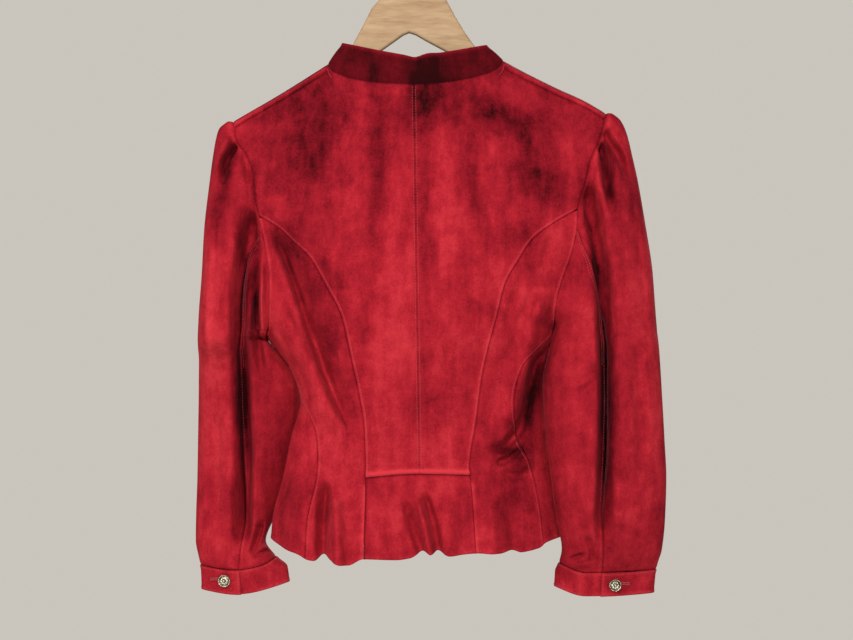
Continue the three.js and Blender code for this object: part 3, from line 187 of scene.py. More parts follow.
# ---------- Folds ----------
# Each fold is: face, height, reach on the path's left, reach on its right, share of the
# path over which it fades in, share over which it fades out, and the path in x and z.
# A height below 0 is a trough. Left and right are seen looking along the path from behind.
DRAGGED = [(-176, -346), (-158, -388), (-143, -428), (-130, -468), (-116, -504), (-110, -524),
           (-94, -562), (-68, -612)]    # the long fold across the left side
TORSO_FOLDS = [
    ("back", -12, 24, 7, .14, .2, DRAGGED),
    ("back", -6, 8, 3.4, .14, .3, DRAGGED),
    ("back", 12, 13, 34, .22, .22, [(-172, -420), (-152, -468), (-130, -510), (-112, -552),
        (-84, -604)]),
    ("back", -19, 9, 12, .25, 0, [(-107, -648), (-110, -690), (-110, -740)]),
    ("back", 11, 11, 9, .22, 0, [(-96, -662), (-94, -700), (-92, -748)]),
    ("back", 8, 17, 15, .22, 0, [(-140, -630), (-146, -685), (-150, -735)]),
    ("back", -12, 9, 7, .25, 0, [(-17, -668), (-6, -705), (6, -736)]),
    ("back", 12, 7, 9, .22, 0, [(-1, -662), (10, -700), (17, -740)]),
    ("back", -14, 8, 12, .22, 0, [(6, -660), (18, -700), (26, -738)]),
    ("back", 5, 15, 15, .22, 0, [(34, -665), (37, -700), (38, -740)]),
    ("back", 12, 24, 22, .22, .22, [(163, -410), (137, -470), (122, -520), (112, -567),
        (92, -607)]),
    ("back", -20, 8, 12, .2, .25, [(152, -492), (140, -512), (133, -540), (129, -565), (122, -592),
        (106, -612), (76, -618)]),
    ("back", -11, 6, 8, .22, .22, [(90, -632), (108, -626), (126, -612)]),
    ("back", -6, 12, 12, .22, 0, [(112, -660), (111, -695), (110, -735)]),
    ("back", 6, 14, 14, .22, 0, [(92, -660), (88, -700), (86, -738)]),
    ("back", -2.6, 9, 7, .3, .3, [(160, -352), (150, -382), (144, -410)]),
    ("back", -3.2, 7, 10, .3, .3, [(127, -404), (112, -440), (103, -482)]),
    ("back", -2.2, 8, 12, .3, .3, [(142, -420), (121, -468), (112, -520)]),
    ("back", 2.4, 6, 9, .3, .3, [(150, -424), (140, -452), (132, -486)]),
    ("back", -3.0, 5, 9, .3, .4, [(162, -428), (157, -452), (150, -478)]),
    ("back", -2.2, 16, 20, .3, .3, [(-38, -220), (-36, -300), (-42, -400), (-38, -470)]),
    ("back", 2.4, 18, 18, .3, .3, [(-72, -240), (-70, -320), (-62, -400)]),
    ("back", 2.2, 14, 18, .3, .3, [(30, -230), (42, -330), (48, -420), (52, -520)]),
    ("back", -2.6, 12, 16, .3, .3, [(62, -215), (72, -290), (80, -360), (84, -410)]),
    ("back", -2.4, 24, 20, .3, .3, [(100, -190), (118, -230), (150, -252)]),
    ("back", 1.8, 20, 20, .3, .3, [(-140, -230), (-128, -290), (-104, -350)]),
    ("back", -2.0, 10, 14, .3, .3, [(-166, -262), (-156, -310), (-140, -344)]),
    ("back", -1.6, 10, 10, .3, .3, [(8, -560), (24, -592), (52, -622)]),
    ("back", -1.4, 8, 8, .3, .3, [(-52, -560), (-30, -590), (-8, -628)]),
    ("back", 2.2, 8, 8, .3, .2, [(-122, -620), (-112, -660), (-120, -700)]),
    ("back", -2.4, 9, 7, .3, .3, [(-152, -500), (-136, -530), (-124, -556)]),
    ("back", -5, 7, 8, .3, .3, [(94, -640), (118, -648), (140, -640)]),
    ("back", 4, 8, 7, .3, .3, [(100, -622), (124, -632), (142, -628)]),
    ("front", -7, 18, 18, .22, .22, [(-150, -400), (-120, -470), (-98, -540), (-88, -610)]),
    ("front", -7, 18, 18, .22, .22, [(146, -395), (118, -470), (98, -540), (88, -610)]),
    ("front", -9, 14, 14, .22, 0, [(-92, -650), (-92, -695), (-92, -740)]),
    ("front", -8, 13, 13, .22, 0, [(-34, -655), (-32, -700), (-30, -745)]),
    ("front", -8, 13, 13, .22, 0, [(36, -655), (33, -700), (30, -745)]),
    ("front", -9, 14, 14, .22, 0, [(94, -650), (93, -695), (92, -740)]),
    ("front", -2.6, 10, 12, .3, .3, [(-60, -560), (-84, -586), (-112, -596)]),
    ("front", -2.4, 9, 11, .3, .3, [(52, -575), (80, -596), (108, -604)]),
    ("front", -2.2, 14, 12, .3, .3, [(-150, -290), (-120, -360), (-104, -420)]),
    ("front", 2.4, 16, 14, .3, .3, [(138, -280), (116, -350), (96, -430)]),
    ("front", -2.0, 10, 12, .3, .3, [(-36, -300), (-44, -390), (-40, -470)]),
    ("front", 2.0, 12, 14, .3, .3, [(46, -320), (52, -400), (48, -480)]),
]
SLEEVE_FOLDS = {
    "left": [
        ("back", -34, 13, 15, .12, .12, [(-189, -318), (-197, -352), (-205, -394), (-208, -430),
            (-209, -500), (-208, -560), (-206, -620), (-208, -665), (-209, -705), (-210, -740)]),
        ("back", -22, 9, 5, .12, .3, [(-190, -352), (-192, -430), (-191, -486), (-185, -535)]),
        ("back", 5, 6, 6, .25, .3, [(-182, -380), (-183, -440), (-180, -486)]),
        ("back", -19, 4.5, 9, .1, .3, [(-213, -246), (-217, -258), (-229, -276), (-231, -306)]),
        ("back", 8, 7, 7, .2, .3, [(-223, -242), (-233, -262), (-240, -292)]),
        ("back", -11, 4, 6, .15, .3, [(-206, -260), (-201, -276), (-199, -308)]),
        ("back", 3.5, 6, 6, .2, .3, [(-210, -256), (-212, -280), (-210, -312)]),
        ("back", -4, 4, 5, .2, .4, [(-201, -284), (-198, -306), (-198, -334)]),
        ("back", 3, 8, 12, .25, .25, [(-244, -330), (-248, -430), (-250, -520)]),
        ("back", -5, 10, 14, .25, .25, [(-238, -560), (-243, -640), (-240, -720)]),
        ("back", -4, 5, 6, .3, .3, [(-174, -502), (-166, -508), (-156, -520)]),
        ("back", -3, 4, 4, .3, .3, [(-168, -538), (-158, -538), (-150, -541)]),
        ("back", -10, 5, 7, .3, .1, [(-186, -700), (-192, -722), (-198, -742)]),
        ("back", -8, 4, 5, .3, .3, [(-176, -736), (-186, -740), (-198, -746)]),
        ("back", 7, 5, 5, .3, .2, [(-172, -726), (-180, -733), (-192, -736)]),
        ("front", -10, 6, 7, .2, .3, [(-217, -243), (-222, -258), (-229, -276), (-230, -305)]),
        ("front", -5, 5, 6, .2, .3, [(-207, -260), (-204, -280), (-204, -312)]),
        ("front", -14, 10, 12, .2, .2, [(-196, -330), (-206, -400), (-212, -480), (-214, -580),
            (-210, -700)]),
    ],
    "right": [
        ("back", -34, 15, 13, .12, .12, [(192, -290), (202, -318), (208, -350), (214, -385),
            (218, -430), (219, -500), (220, -560), (218, -620), (217, -680), (217, -740)]),
        ("back", -19, 9, 4.5, .1, .3, [(218, -232), (225, -248), (237, -266), (246, -296)]),
        ("back", -21, 9, 6, .1, .35, [(211, -246), (219, -264), (223, -305), (230, -346)]),
        ("back", 9, 6, 7, .2, .3, [(219, -240), (231, -270), (238, -300)]),
        ("back", 4, 6, 6, .2, .3, [(208, -256), (212, -300), (218, -340)]),
        ("back", -5, 4, 5, .2, .3, [(205, -268), (205, -292), (210, -330)]),
        ("back", 3, 12, 8, .25, .25, [(262, -320), (272, -420), (276, -520)]),
        ("back", -5, 9, 11, .3, .3, [(160, -508), (174, -503), (190, -495)]),
        ("back", -5, 8, 10, .3, .3, [(182, -548), (196, -542), (210, -532)]),
        ("back", 3, 10, 12, .3, .3, [(176, -522), (190, -520), (206, -510)]),
        ("back", -2.5, 4, 4, .3, .3, [(203, -460), (207, -462), (211, -464)]),
        ("back", -5, 14, 10, .25, .25, [(252, -470), (258, -560), (258, -650)]),
        ("back", -9, 6, 5, .3, .1, [(196, -712), (204, -730), (206, -748)]),
        ("back", -7, 5, 4, .3, .3, [(178, -748), (188, -742), (198, -738)]),
        ("back", 7, 6, 6, .3, .2, [(176, -758), (190, -754), (204, -752)]),
        ("back", 3, 6, 6, .3, .2, [(226, -700), (232, -730), (236, -756)]),
        ("front", -10, 7, 6, .2, .3, [(220, -232), (226, -250), (236, -270), (240, -300)]),
        ("front", -5, 6, 5, .2, .3, [(208, -256), (210, -280), (212, -312)]),
        ("front", -14, 12, 10, .2, .2, [(200, -330), (212, -400), (220, -480), (224, -580),
            (218, -700)]),
    ],
}

# ---------- Brushed and worn patches of the nap, with painted shade and highlights ---
# x, z, half width, half height, lean (x per z), lightness
NAP_AND_PAINTED_LIGHT = np.array([
    (-118, -236, 52, 42, 0, -.55), (-70, -250, 20, 60, .1, .30), (-50, -300, 12, 120, 0, -.35),
    (-20, -290, 14, 90, 0, .34), (-24, -420, 18, 90, 0, .16), (16, -200, 26, 38, 0, -.42),
    (36, -320, 20, 110, -.12, .40), (8, -330, 9, 120, 0, -.25), (66, -300, 13, 90, -.1, -.35),
    (90, -280, 18, 80, -.1, .35), (108, -222, 44, 28, -.25, -.46), (130, -290, 44, 34, 0, -.45),
    (172, -262, 20, 26, 0, .25), (30, -470, 44, 80, 0, .18), (-34, -540, 30, 90, 0, .24),
    (24, -600, 40, 40, 0, .35), (128, -360, 26, 22, .4, -.50), (160, -350, 18, 18, 0, .30),
    (118, -450, 22, 60, .3, .30), (-150, -372, 26, 26, -.4, -.50), (-130, -540, 34, 60, -.4, .45),
    (-104, -470, 18, 60, -.4, -.45), (-90, -640, 26, 60, 0, .15), (110, -660, 30, 40, 0, -.30),
    (0, -690, 50, 26, 0, .10), (-232, -330, 18, 50, 0, -.30), (-246, -470, 9, 170, 0, .30),
    (-262, -500, 6, 200, 0, .20), (-180, -620, 26, 70, 0, -.15), (248, -330, 22, 40, 0, -.35),
    (276, -520, 9, 200, 0, .30), (196, -600, 24, 90, 0, .10), (182, -470, 22, 30, 0, .15),
    # The last two entries of the next line and all three of the line after: painted shade in the
    # pleats of the sleeve heads and at the left armhole, with a painted highlight beside the right
    # pleat.
    (250, -620, 20, 90, 0, -.10), (226, -305, 7, 42, -.15, -.80), (212, -300, 4, 40, 0, .35),
    (-224, -286, 6, 26, .2, -.75), (-235, -336, 15, 34, 0, -.45), (-196, -318, 6, 30, 0, -.75),
    (118, -226, 36, 19, -.3, -.16), (-150, -300, 40, 30, 0, -.20), (60, -236, 10, 44, 0, .30),
    # The first entry of the next line is painted shade over the top of the back and of the front.
    (0, -170, 240, 120, 0, -.44), (0, -640, 170, 90, 0, .06), (-232, -520, 40, 200, 0, .34),
    (-118, -420, 22, 50, -.5, -.30), (250, -560, 40, 180, 0, .12),
], float)

# Painted shade in the hollows of the deep folds on the back, and a painted highlight on one ridge
# between them, given in the same way.
PAINTED_FOLD_SHADING = np.array([
    (138, -548, 8, 48, .22, -1.5), (-211, -560, 8, 84, 0, -1.8), (219, -560, 8, 100, 0, -1.8),
    (-192, -430, 5, 58, 0, -1.2), (112, -618, 24, 8, 0, -.8), (-206, -400, 6, 50, -.1, -1.0),
    (208, -385, 6, 60, -.12, -1.0), (-184, -430, 3.5, 52, 0, .4), (-224, -272, 4, 22, .4, -.5),
    (227, -262, 4, 24, -.45, -.6), (216, -262, 3.5, 22, -.35, -.5),
], float)

# ---------- Small mathematics ----------
def mix(a, b, t):
    return a + (b - a) * t


def smooth(t):
    t = np.clip(t, 0, 1)
    return t * t * (3 - 2 * t)


def signed_power(value, power):
    return np.sign(value) * np.abs(value) ** power


def curve(rows, column=1):
    """A smooth curve through a table: its column as a function of the first column."""
    rows = rows[np.argsort(rows[:, 0])]
    at = rows[:, 0]
    value = rows[:, column]
    chord = np.diff(value) / np.diff(at)
    slope = np.zeros(len(at))
    slope[0] = chord[0]
    slope[-1] = chord[-1]
    product = chord[:-1] * chord[1:]
    total = np.where(chord[:-1] + chord[1:] == 0, 1, chord[:-1] + chord[1:])
    slope[1:-1] = np.where(product > 0, 2 * product / total, 0)

    def evaluate(position):
        p = np.clip(np.asarray(position, float), at[0], at[-1])
        i = np.clip(np.searchsorted(at, p, side="right") - 1, 0, len(at) - 2)
        span = at[i + 1] - at[i]
        t = (p - at[i]) / span
        rise = 3 * t * t - 2 * t ** 3
        bend = slope[i] * t * (1 - t) ** 2 - slope[i + 1] * t * t * (1 - t)
        return mix(value[i], value[i + 1], rise) + span * bend

    return evaluate


def fold_height(folds, back, x, z):
    """The height that a list of folds adds; `back` is true where a point is on the back."""
    height = np.zeros(np.shape(x))
    for face, tall, left, right, fade_in, fade_out, path in folds:
        on_face = back if face == "back" else ~back
        reach = max(left, right)
        xs, zs = np.array(path, float).T
        near = on_face & (x > xs.min() - reach) & (x < xs.max() + reach)
        near &= (z > zs.min() - reach) & (z < zs.max() + reach)
        if not near.any():
            continue
        px, pz = x[near], z[near]
        best = np.full(px.shape, np.inf)
        share = np.zeros(px.shape)
        side = np.zeros(px.shape)
        for i in range(len(path) - 1):
            dx, dz = xs[i + 1] - xs[i], zs[i + 1] - zs[i]
            t = np.clip(((px - xs[i]) * dx + (pz - zs[i]) * dz) / (dx * dx + dz * dz), 0, 1)
            away_x, away_z = px - xs[i] - t * dx, pz - zs[i] - t * dz
            distance = np.hypot(away_x, away_z)
            closer = distance < best
            best = np.where(closer, distance, best)
            share = np.where(closer, (i + t) / (len(path) - 1), share)
            side = np.where(closer, dx * away_z - dz * away_x, side)
        # Seen from behind with x to the right, a downward path has its left at larger x.
        across = best / np.where(side > 0, left, right)
        ends = np.ones(px.shape)
        if fade_in > 0:
            ends *= smooth(share / fade_in)
        if fade_out > 0:
            ends *= smooth((1 - share) / fade_out)
        height[near] += tall * ends * np.where(across < 1, (1 - np.minimum(across, 1) ** 2) ** 2, 0)
    return height


def section_x(start, end, angle, power):
    """x on a rounded section between its two ends; angle 0 is at the end."""
    return (start + end) / 2 + (end - start) / 2 * signed_power(np.cos(angle), 2 / power)


def section_angle(start, end, x, face, power):
    share = np.clip((x - (start + end) / 2) / ((end - start) / 2), -1, 1)
    angle = np.arccos(signed_power(share, power / 2))
    return angle if face == "back" else 2 * np.pi - angle


# ---------- The torso's surface ----------
torso = {name: curve(TORSO, i + 1) for i, name in enumerate(
    ("left", "right", "back", "front", "left_y", "right_y"))}
shoulder_top = curve(SHOULDER)
centre_back = curve(CENTRE_BACK)
waist = curve(WAIST)
hem = {"back": curve(HEM_BACK), "front": curve(HEM_FRONT)}
armhole = {side: curve(ARMHOLE[side]) for side in SIGN}
princess = {side: curve(PRINCESS[side]) for side in SIGN}
hind_seam = {side: curve(HIND_SEAM[side]) for side in SIGN}
cuff_rise = {side: curve(CUFF[side]["tilt"]) for side in SIGN}


def roofed(depth, below):
    """Depth of the cloth below the shoulder ridge: round over the arm, then falling away."""
    round_depth = RIDGE * np.sqrt(np.clip(1 - (1 - np.clip(below, 0, RIDGE) / RIDGE) ** 2, 0, 1))
    deep = RIDGE + (depth - RIDGE) * (1 - np.exp(-np.maximum(below - RIDGE, 0) / ROOF_SPREAD))
    lower = np.where(depth <= RIDGE, depth, deep)
    return np.where(below < RIDGE, np.minimum(round_depth, depth), lower)


def torso_point(angle, z):
    angle = np.asarray(angle, float)
    z = np.asarray(z, float)
    left, right = torso["left"](z), torso["right"](z)
    x = section_x(left, right, angle, SECTION_POWER)
    back = np.sin(angle) >= 0
    turn = np.abs(np.sin(angle))
    full = np.where(back, torso["back"](z), torso["front"](z)) * turn ** (2 / SECTION_POWER)
    fold = smooth(turn / FOLD_FADE) * fold_height(TORSO_FOLDS, back, x, z)
    below = shoulder_top(x) - z
    depth = roofed(full, below) + fold * smooth(below / 12)
    middle = mix(torso["left_y"](z), torso["right_y"](z), np.clip((x - left) / (right - left), 0, 1))
    return np.stack([x, middle + np.where(back, -depth, depth), z], -1)


def torso_angle(x, z, face):
    return section_angle(torso["left"](z), torso["right"](z), x, face, SECTION_POWER)


def angle_on(seam, face="back"):
    """The angle of a seam, given as x at a height, as a function of the height."""
    return lambda z: torso_angle(seam(z), z, face)


# ---------- The sleeves' surface ----------
sleeve = {side: {name: curve(SLEEVE[side], i + 1) for i, name in enumerate(
    ("outer", "inner", "back", "front", "mid_y"))} for side in SIGN}


def sleeve_section(side, angle, z):
    table = sleeve[side]
    x = section_x(table["inner"](z), table["outer"](z), angle, SLEEVE_POWER)
    back = np.sin(angle) >= 0
    depth = np.where(back, table["back"](z), table["front"](z))
    depth = depth * np.abs(np.sin(angle)) ** (2 / SLEEVE_POWER)
    return x, table["mid_y"](z) + np.where(back, -depth, depth), back


def sleeve_angle(side, x, z, face):
    table = sleeve[side]
    return section_angle(table["inner"](z), table["outer"](z), x, face, SLEEVE_POWER)


def sleeve_surface(side):
    return lambda angle, z: sleeve_point(side, angle, z)


def sleeve_point(side, angle, z):
    """A point of a sleeve. Above the armpit it takes the torso's depth at the armhole."""
    angle = np.asarray(angle, float)
    z = np.asarray(z, float)
    x, y, back = sleeve_section(side, angle, z)
    above = z > ARMPIT[side]
    seam_x = armhole[side](z)
    seam_y = np.where(back, *(
        torso_point(torso_angle(seam_x, z, face), z)[..., 1] for face in FACES))
    own_y = np.where(back, *(
        sleeve_section(side, sleeve_angle(side, seam_x, z, face), z)[1] for face in FACES))
    blend = np.minimum(CAP_BLEND, 0.9 * np.abs(sleeve[side]["outer"](z) - seam_x))
    away = np.abs(x - seam_x)
    y = y + np.where(above, (seam_y - own_y) * smooth(1 - away / blend), 0)
    free = np.where(above, smooth(away / SEAM_FADE), 1)
    turned = smooth(np.abs(np.sin(angle)) / FOLD_FADE) * smooth((z - CUFF[side]["top"]) / 22)
    fold = free * turned * fold_height(SLEEVE_FOLDS[side], back, x, z)
    return np.stack([x, y + np.where(back, -fold, fold), z], -1)


# ---------- Grids ----------
def resample(edge, count):
    """An edge of [angle, z] points as `count` + 1 points evenly spaced along its x and z."""
    points = np.array(edge, float)
    span = np.hypot(np.diff(points[:, 2]), np.diff(points[:, 1]))
    along = np.concatenate([[0], np.cumsum(span)])
    at = np.linspace(0, along[-1], count + 1)
    return np.stack([np.interp(at, along, points[:, 0]), np.interp(at, along, points[:, 1])], -1)


def edge_on(face, xs, zs, turned=0.0):
    """An edge from x and z on one face, as rows of angle, z and x."""
    xs = np.asarray(xs, float)
    zs = np.asarray(zs, float) + 0 * xs
    return np.stack([torso_angle(xs, zs, face) + turned, zs, xs], -1)


def patch(left, right, left_heights, right_heights, top, bottom):
    """A grid of [angle, z] inside four edges; `left` and `right` give angles at heights."""
    columns = len(top) - 1

    def share(edge):
        start, end = left(edge[:, 1]), right(edge[:, 1])
        return (edge[:, 0] - start) / (end - start)

    shares = share(top), share(bottom)
    bows = [edge[:, 1] - mix(edge[0, 1], edge[-1, 1], part)
            for edge, part in ((top, shares[0]), (bottom, shares[1]))]
    down = (left_heights[0] - left_heights) / (left_heights[0] - left_heights[-1])
    down = down[:, None]
    across = mix(shares[0][None, :], shares[1][None, :], down)
    across[:, columns] = 1
    z = mix(left_heights[:, None], right_heights[:, None], across)
    z = z + bows[0][None, :] * (1 - down) + bows[1][None, :] * down ** 3
    return mix(left(z), right(z), across), z


def normals_of(points):
    """Unit normals of a grid of points, from its rows and columns."""
    along = np.gradient(points, axis=1)
    down = np.gradient(points, axis=0)
    normal = np.cross(along, down)
    length = np.linalg.norm(normal, axis=-1, keepdims=True)
    return normal / np.maximum(length, 1e-9)


def reaches(points):
    """Distances of each grid point from the four edges, along the rows and columns."""
    across = np.linalg.norm(np.diff(points, axis=1), axis=-1)
    from_left = np.concatenate([np.zeros((len(points), 1)), np.cumsum(across, 1)], 1)
    down = np.linalg.norm(np.diff(points, axis=0), axis=-1)
    from_top = np.concatenate([np.zeros((1, points.shape[1])), np.cumsum(down, 0)], 0)
    return {
        "left": from_left, "right": from_left[:, -1:] - from_left,
        "top": from_top, "bottom": from_top[-1:, :] - from_top,
    }


def bump(distance, centre, width):
    return np.exp(-((distance - centre) / width) ** 2)


# How the cloth rises or sinks at a distance from an edge of each kind.
RELIEF = {
    "groove": lambda d: -0.35 * np.clip(1 - d / 2.4, 0, 1) ** 2,
    "sunk": lambda d: -0.9 * np.clip(1 - d / 4.0, 0, 1) ** 2,
    "tucked": lambda d: -1.9 * np.clip(1 - d / 6.0, 0, 1) ** 1.5,
    "ridge": lambda d: 0.9 * bump(d, 1.6, 1.8),
    "pressed": lambda d: 0.45 * bump(d, 1.4, 1.8),
    "lip": lambda d: 1.1 * bump(d, 0.6, 3.0),
    "hem": lambda d: 0.5 * bump(d, 1.6, 2.4),
    "pinch": lambda d: 3.0 * bump(d, 3.4, 2.8) - 1.2 * np.clip(1 - d / 2.0, 0, 1) ** 2,
    "plain": lambda d: 0 * d,
}


def draw_back(points):
    """Draws the rim of a grid in by the seam slack."""
    for edge, neighbour in (
            ((0, slice(None)), (1, slice(None))), ((-1, slice(None)), (-2, slice(None))),
            ((slice(None), 0), (slice(None), 1)), ((slice(None), -1), (slice(None), -2))):
        step = points[neighbour] - points[edge]
        length = np.maximum(np.linalg.norm(step, axis=-1, keepdims=True), 1e-6)
        points[edge] = points[edge] + step / length * np.minimum(SEAM_SLACK, 0.4 * length)


# ---------- Meshes ----------
def link(mesh, name, material, rounded=True):
    mesh.polygons.foreach_set("use_smooth", np.full(len(mesh.polygons), rounded))
    obj = bpy.data.objects.new(name, mesh)
    bpy.context.scene.collection.objects.link(obj)
    mesh.materials.append(material)
    return obj


def stand_for(obj, node):
    """Puts a piece in the place of a solid of the part."""
    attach(obj, "root")
    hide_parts(node)


def wall_mesh(name, outer, inner):
    """A closed wall between two grids of points, in millimetres."""
    rows, columns = outer.shape[0] - 1, outer.shape[1] - 1
    count = outer.shape[0] * outer.shape[1]
    at = np.arange(count).reshape(outer.shape[:2])
    a, b, c, d = at[:-1, :-1], at[1:, :-1], at[1:, 1:], at[:-1, 1:]
    faces = [np.stack([a, b, c, d], -1).reshape(-1, 4)]
    faces.append(np.stack([a, d, c, b], -1).reshape(-1, 4) + count)

    def rim(line):
        start, end = line[:-1], line[1:]
        return np.stack([start, end, end + count, start + count], -1)

    faces += [rim(at[0, :]), rim(at[::-1, 0]), rim(at[-1, ::-1]), rim(at[:, -1])]
    verts = np.concatenate([outer.reshape(-1, 3), inner.reshape(-1, 3)]) * 0.001
    mesh = bpy.data.meshes.new(name)
    mesh.from_pydata(verts.tolist(), [], np.concatenate(faces).tolist())
    mesh.update()
    return mesh


def set_attribute(mesh, name, values):
    layer = mesh.attributes.new(name, "FLOAT", "POINT")
    layer.data.foreach_set("value", np.asarray(values, np.float32).ravel())


def nap_and_painted_light_at(points, back):
    """Lightness at the points from the brushed and worn patches and from the painted shade and
    highlights; the first table lies on both faces, mirrored on the front, and the painted fold
    shading only on the back.
    """
    x = np.where(back, points[..., 0], -points[..., 0])
    z = points[..., 2]
    value = np.zeros(x.shape)
    for blobs, where in ((NAP_AND_PAINTED_LIGHT, 1.0), (PAINTED_FOLD_SHADING, back)):
        for cx, cz, wide, high, lean, light in blobs:
            u = (x - cx - lean * (z - cz)) / wide
            v = (z - cz) / high
            value += where * light * np.exp(-(u * u + v * v))
    return value


def build_wall(node, points, kinds, material, normal, lower=None, thickness=WALL):
    """Makes a cloth panel from a grid of points and normals, with relief at its edges."""
    distance = reaches(points)
    relief = np.zeros(points.shape[:2])
    for edge, kind in kinds.items():
        if callable(kind):
            relief += kind(distance[edge], points)
        else:
            relief += RELIEF[kind](distance[edge])
    lowered = lower(points) if lower is not None else 0 * relief
    outer = points + normal * (relief - lowered)[..., None]
    draw_back(outer)
    inner = outer - normal * thickness
    mesh = wall_mesh(node, outer, inner)
    # The lightness attributes below colour the suede: the relief gives a painted highlight on raised
    # edges and painted shade in grooves, and the patch tables give painted shade and highlights
    # along with the brushed patches.
    nap_and_painted_light = nap_and_painted_light_at(points, normal[..., 1] < 0.15)
    set_attribute(mesh, "relief", np.concatenate([relief.ravel(), relief.ravel()]))
    set_attribute(mesh, "nap_and_painted_light", np.concatenate([nap_and_painted_light.ravel(), nap_and_painted_light.ravel()]))
    obj = link(mesh, "suede_" + node, material)
    stand_for(obj, node)
    return {"outer": outer, "normal": normal, "distance": reaches(outer)}


# ---------- Stitches ----------
stitch_verts = []
stitch_faces = []


def stitch_line(path, normal):
    """Adds a row of stitches along a path of points with normals."""
    span = np.linalg.norm(np.diff(path, axis=0), axis=-1)
    along = np.concatenate([[0], np.cumsum(span)])
    count = int(along[-1] // STITCH["pitch"])
    if count < 1:
        return
    for k in range(count):
        start = k * STITCH["pitch"] + 0.4
        ends = []
        for s in (start, start + STITCH["length"] / 2, start + STITCH["length"]):
            point = np.array([np.interp(s, along, path[:, i]) for i in range(3)])
            up = np.array([np.interp(s, along, normal[:, i]) for i in range(3)])
            ends.append((point, up / max(np.linalg.norm(up), 1e-6)))
        add_stitch(ends)


def add_stitch(ends):
    """One stitch: a short round-backed bar that dips into the cloth at both ends."""
    forward = ends[2][0] - ends[0][0]
    forward = forward / max(np.linalg.norm(forward), 1e-6)
    base = sum(len(block) for block in stitch_verts)
    block = []
    for (point, up), lift, half in zip(ends, (-0.15, 0.30, -0.15), (0.55, 1.0, 0.55)):
        side = np.cross(forward, up)
        width = STITCH["width"] / 2 * half
        block.append(point + side * width + up * (lift - 0.12))
        block.append(point + side * width * 0.5 + up * (lift + STITCH["height"] * 0.4 * half))
        block.append(point - side * width * 0.5 + up * (lift + STITCH["height"] * 0.4 * half))
        block.append(point - side * width + up * (lift - 0.12))
    stitch_verts.append(np.array(block))
    for ring in (0, 4):
        for k in range(4):
            a, b = base + ring + k, base + ring + (k + 1) % 4
            stitch_faces.append((a, b, b + 4, a + 4))
    stitch_faces.append((base + 3, base + 2, base + 1, base))
    stitch_faces.append((base + 8, base + 9, base + 10, base + 11))


def offset_path(panel, edge, away, first, last):
    """A path on a panel at a distance from one edge, over a share of that edge."""
    ramp, outer, normal = panel["distance"][edge], panel["outer"], panel["normal"]
    if edge in ("top", "bottom"):
        ramp, outer, normal = ramp.T, outer.swapaxes(0, 1), normal.swapaxes(0, 1)
    end = len(ramp) - 1
    path = []
    ups = []
    for i in range(int(first * end), int(last * end) + 1):
        order = slice(None) if ramp[i, 0] <= ramp[i, -1] else slice(None, None, -1)
        if ramp[i].max() < away * 1.5:
            continue
        at = ramp[i][order]
        path.append([np.interp(away, at, outer[i][order][:, k]) for k in range(3)])
        ups.append([np.interp(away, at, normal[i][order][:, k]) for k in range(3)])
    return np.array(path), np.array(ups)


def topstitch(panel, edge, aways, first, last):
    """Rows of stitches at distances from an edge, over a share of that edge."""
    for away in aways:
        path, ups = offset_path(panel, edge, away, first, last)
        if len(path) > 2:
            stitch_line(path, ups)


# ---------- Materials ----------
def new_material(name):
    material = bpy.data.materials.new(name)
    material.use_nodes = True
    tree = material.node_tree
    return material, tree, tree.nodes["Principled BSDF"]


def set_inputs(node, values):
    """Sets a node's inputs, each to a value or to the output of another node."""
    for name, value in values.items():
        if isinstance(value, bpy.types.NodeSocket):
            node.id_data.links.new(value, node.inputs[name])
        elif value is not None:
            node.inputs[name].default_value = value


def add_node(tree, kind, output, values):
    node = tree.nodes.new("ShaderNode" + kind)
    set_inputs(node, values)
    return node.outputs[output]


def add_noise(tree, vector, scale, detail, rough=0.5):
    return add_node(tree, "TexNoise", "Fac", {
        "Vector": vector, "Scale": scale, "Detail": detail, "Roughness": rough})


def add_bump(tree, height, strength, distance, normal=None):
    return add_node(tree, "Bump", "Normal", {
        "Height": height, "Strength": strength, "Distance": distance, "Normal": normal})


def add_mapping(tree, scale=(1, 1, 1)):
    coords = add_node(tree, "TexCoord", "Object", {})
    return add_node(tree, "Mapping", "Vector", {"Vector": coords, "Scale": scale})


def add_math(tree, operation, *values):
    node = tree.nodes.new("ShaderNodeMath")
    node.operation = operation
    set_inputs(node, dict(enumerate(values)))
    return node.outputs[0]


def add_attribute(tree, name):
    node = tree.nodes.new("ShaderNodeAttribute")
    node.attribute_name = name
    return node.outputs["Fac"]


def add_ramp(tree, fac, stops):
    ramp = tree.nodes.new("ShaderNodeValToRGB")
    elements = ramp.color_ramp.elements
    while len(elements) < len(stops):
        elements.new(0.5)
    for element, (position, colour) in zip(elements, stops):
        element.position = position
        element.color = (*colour, 1)
    set_inputs(ramp, {"Fac": fac})
    return ramp.outputs["Color"]


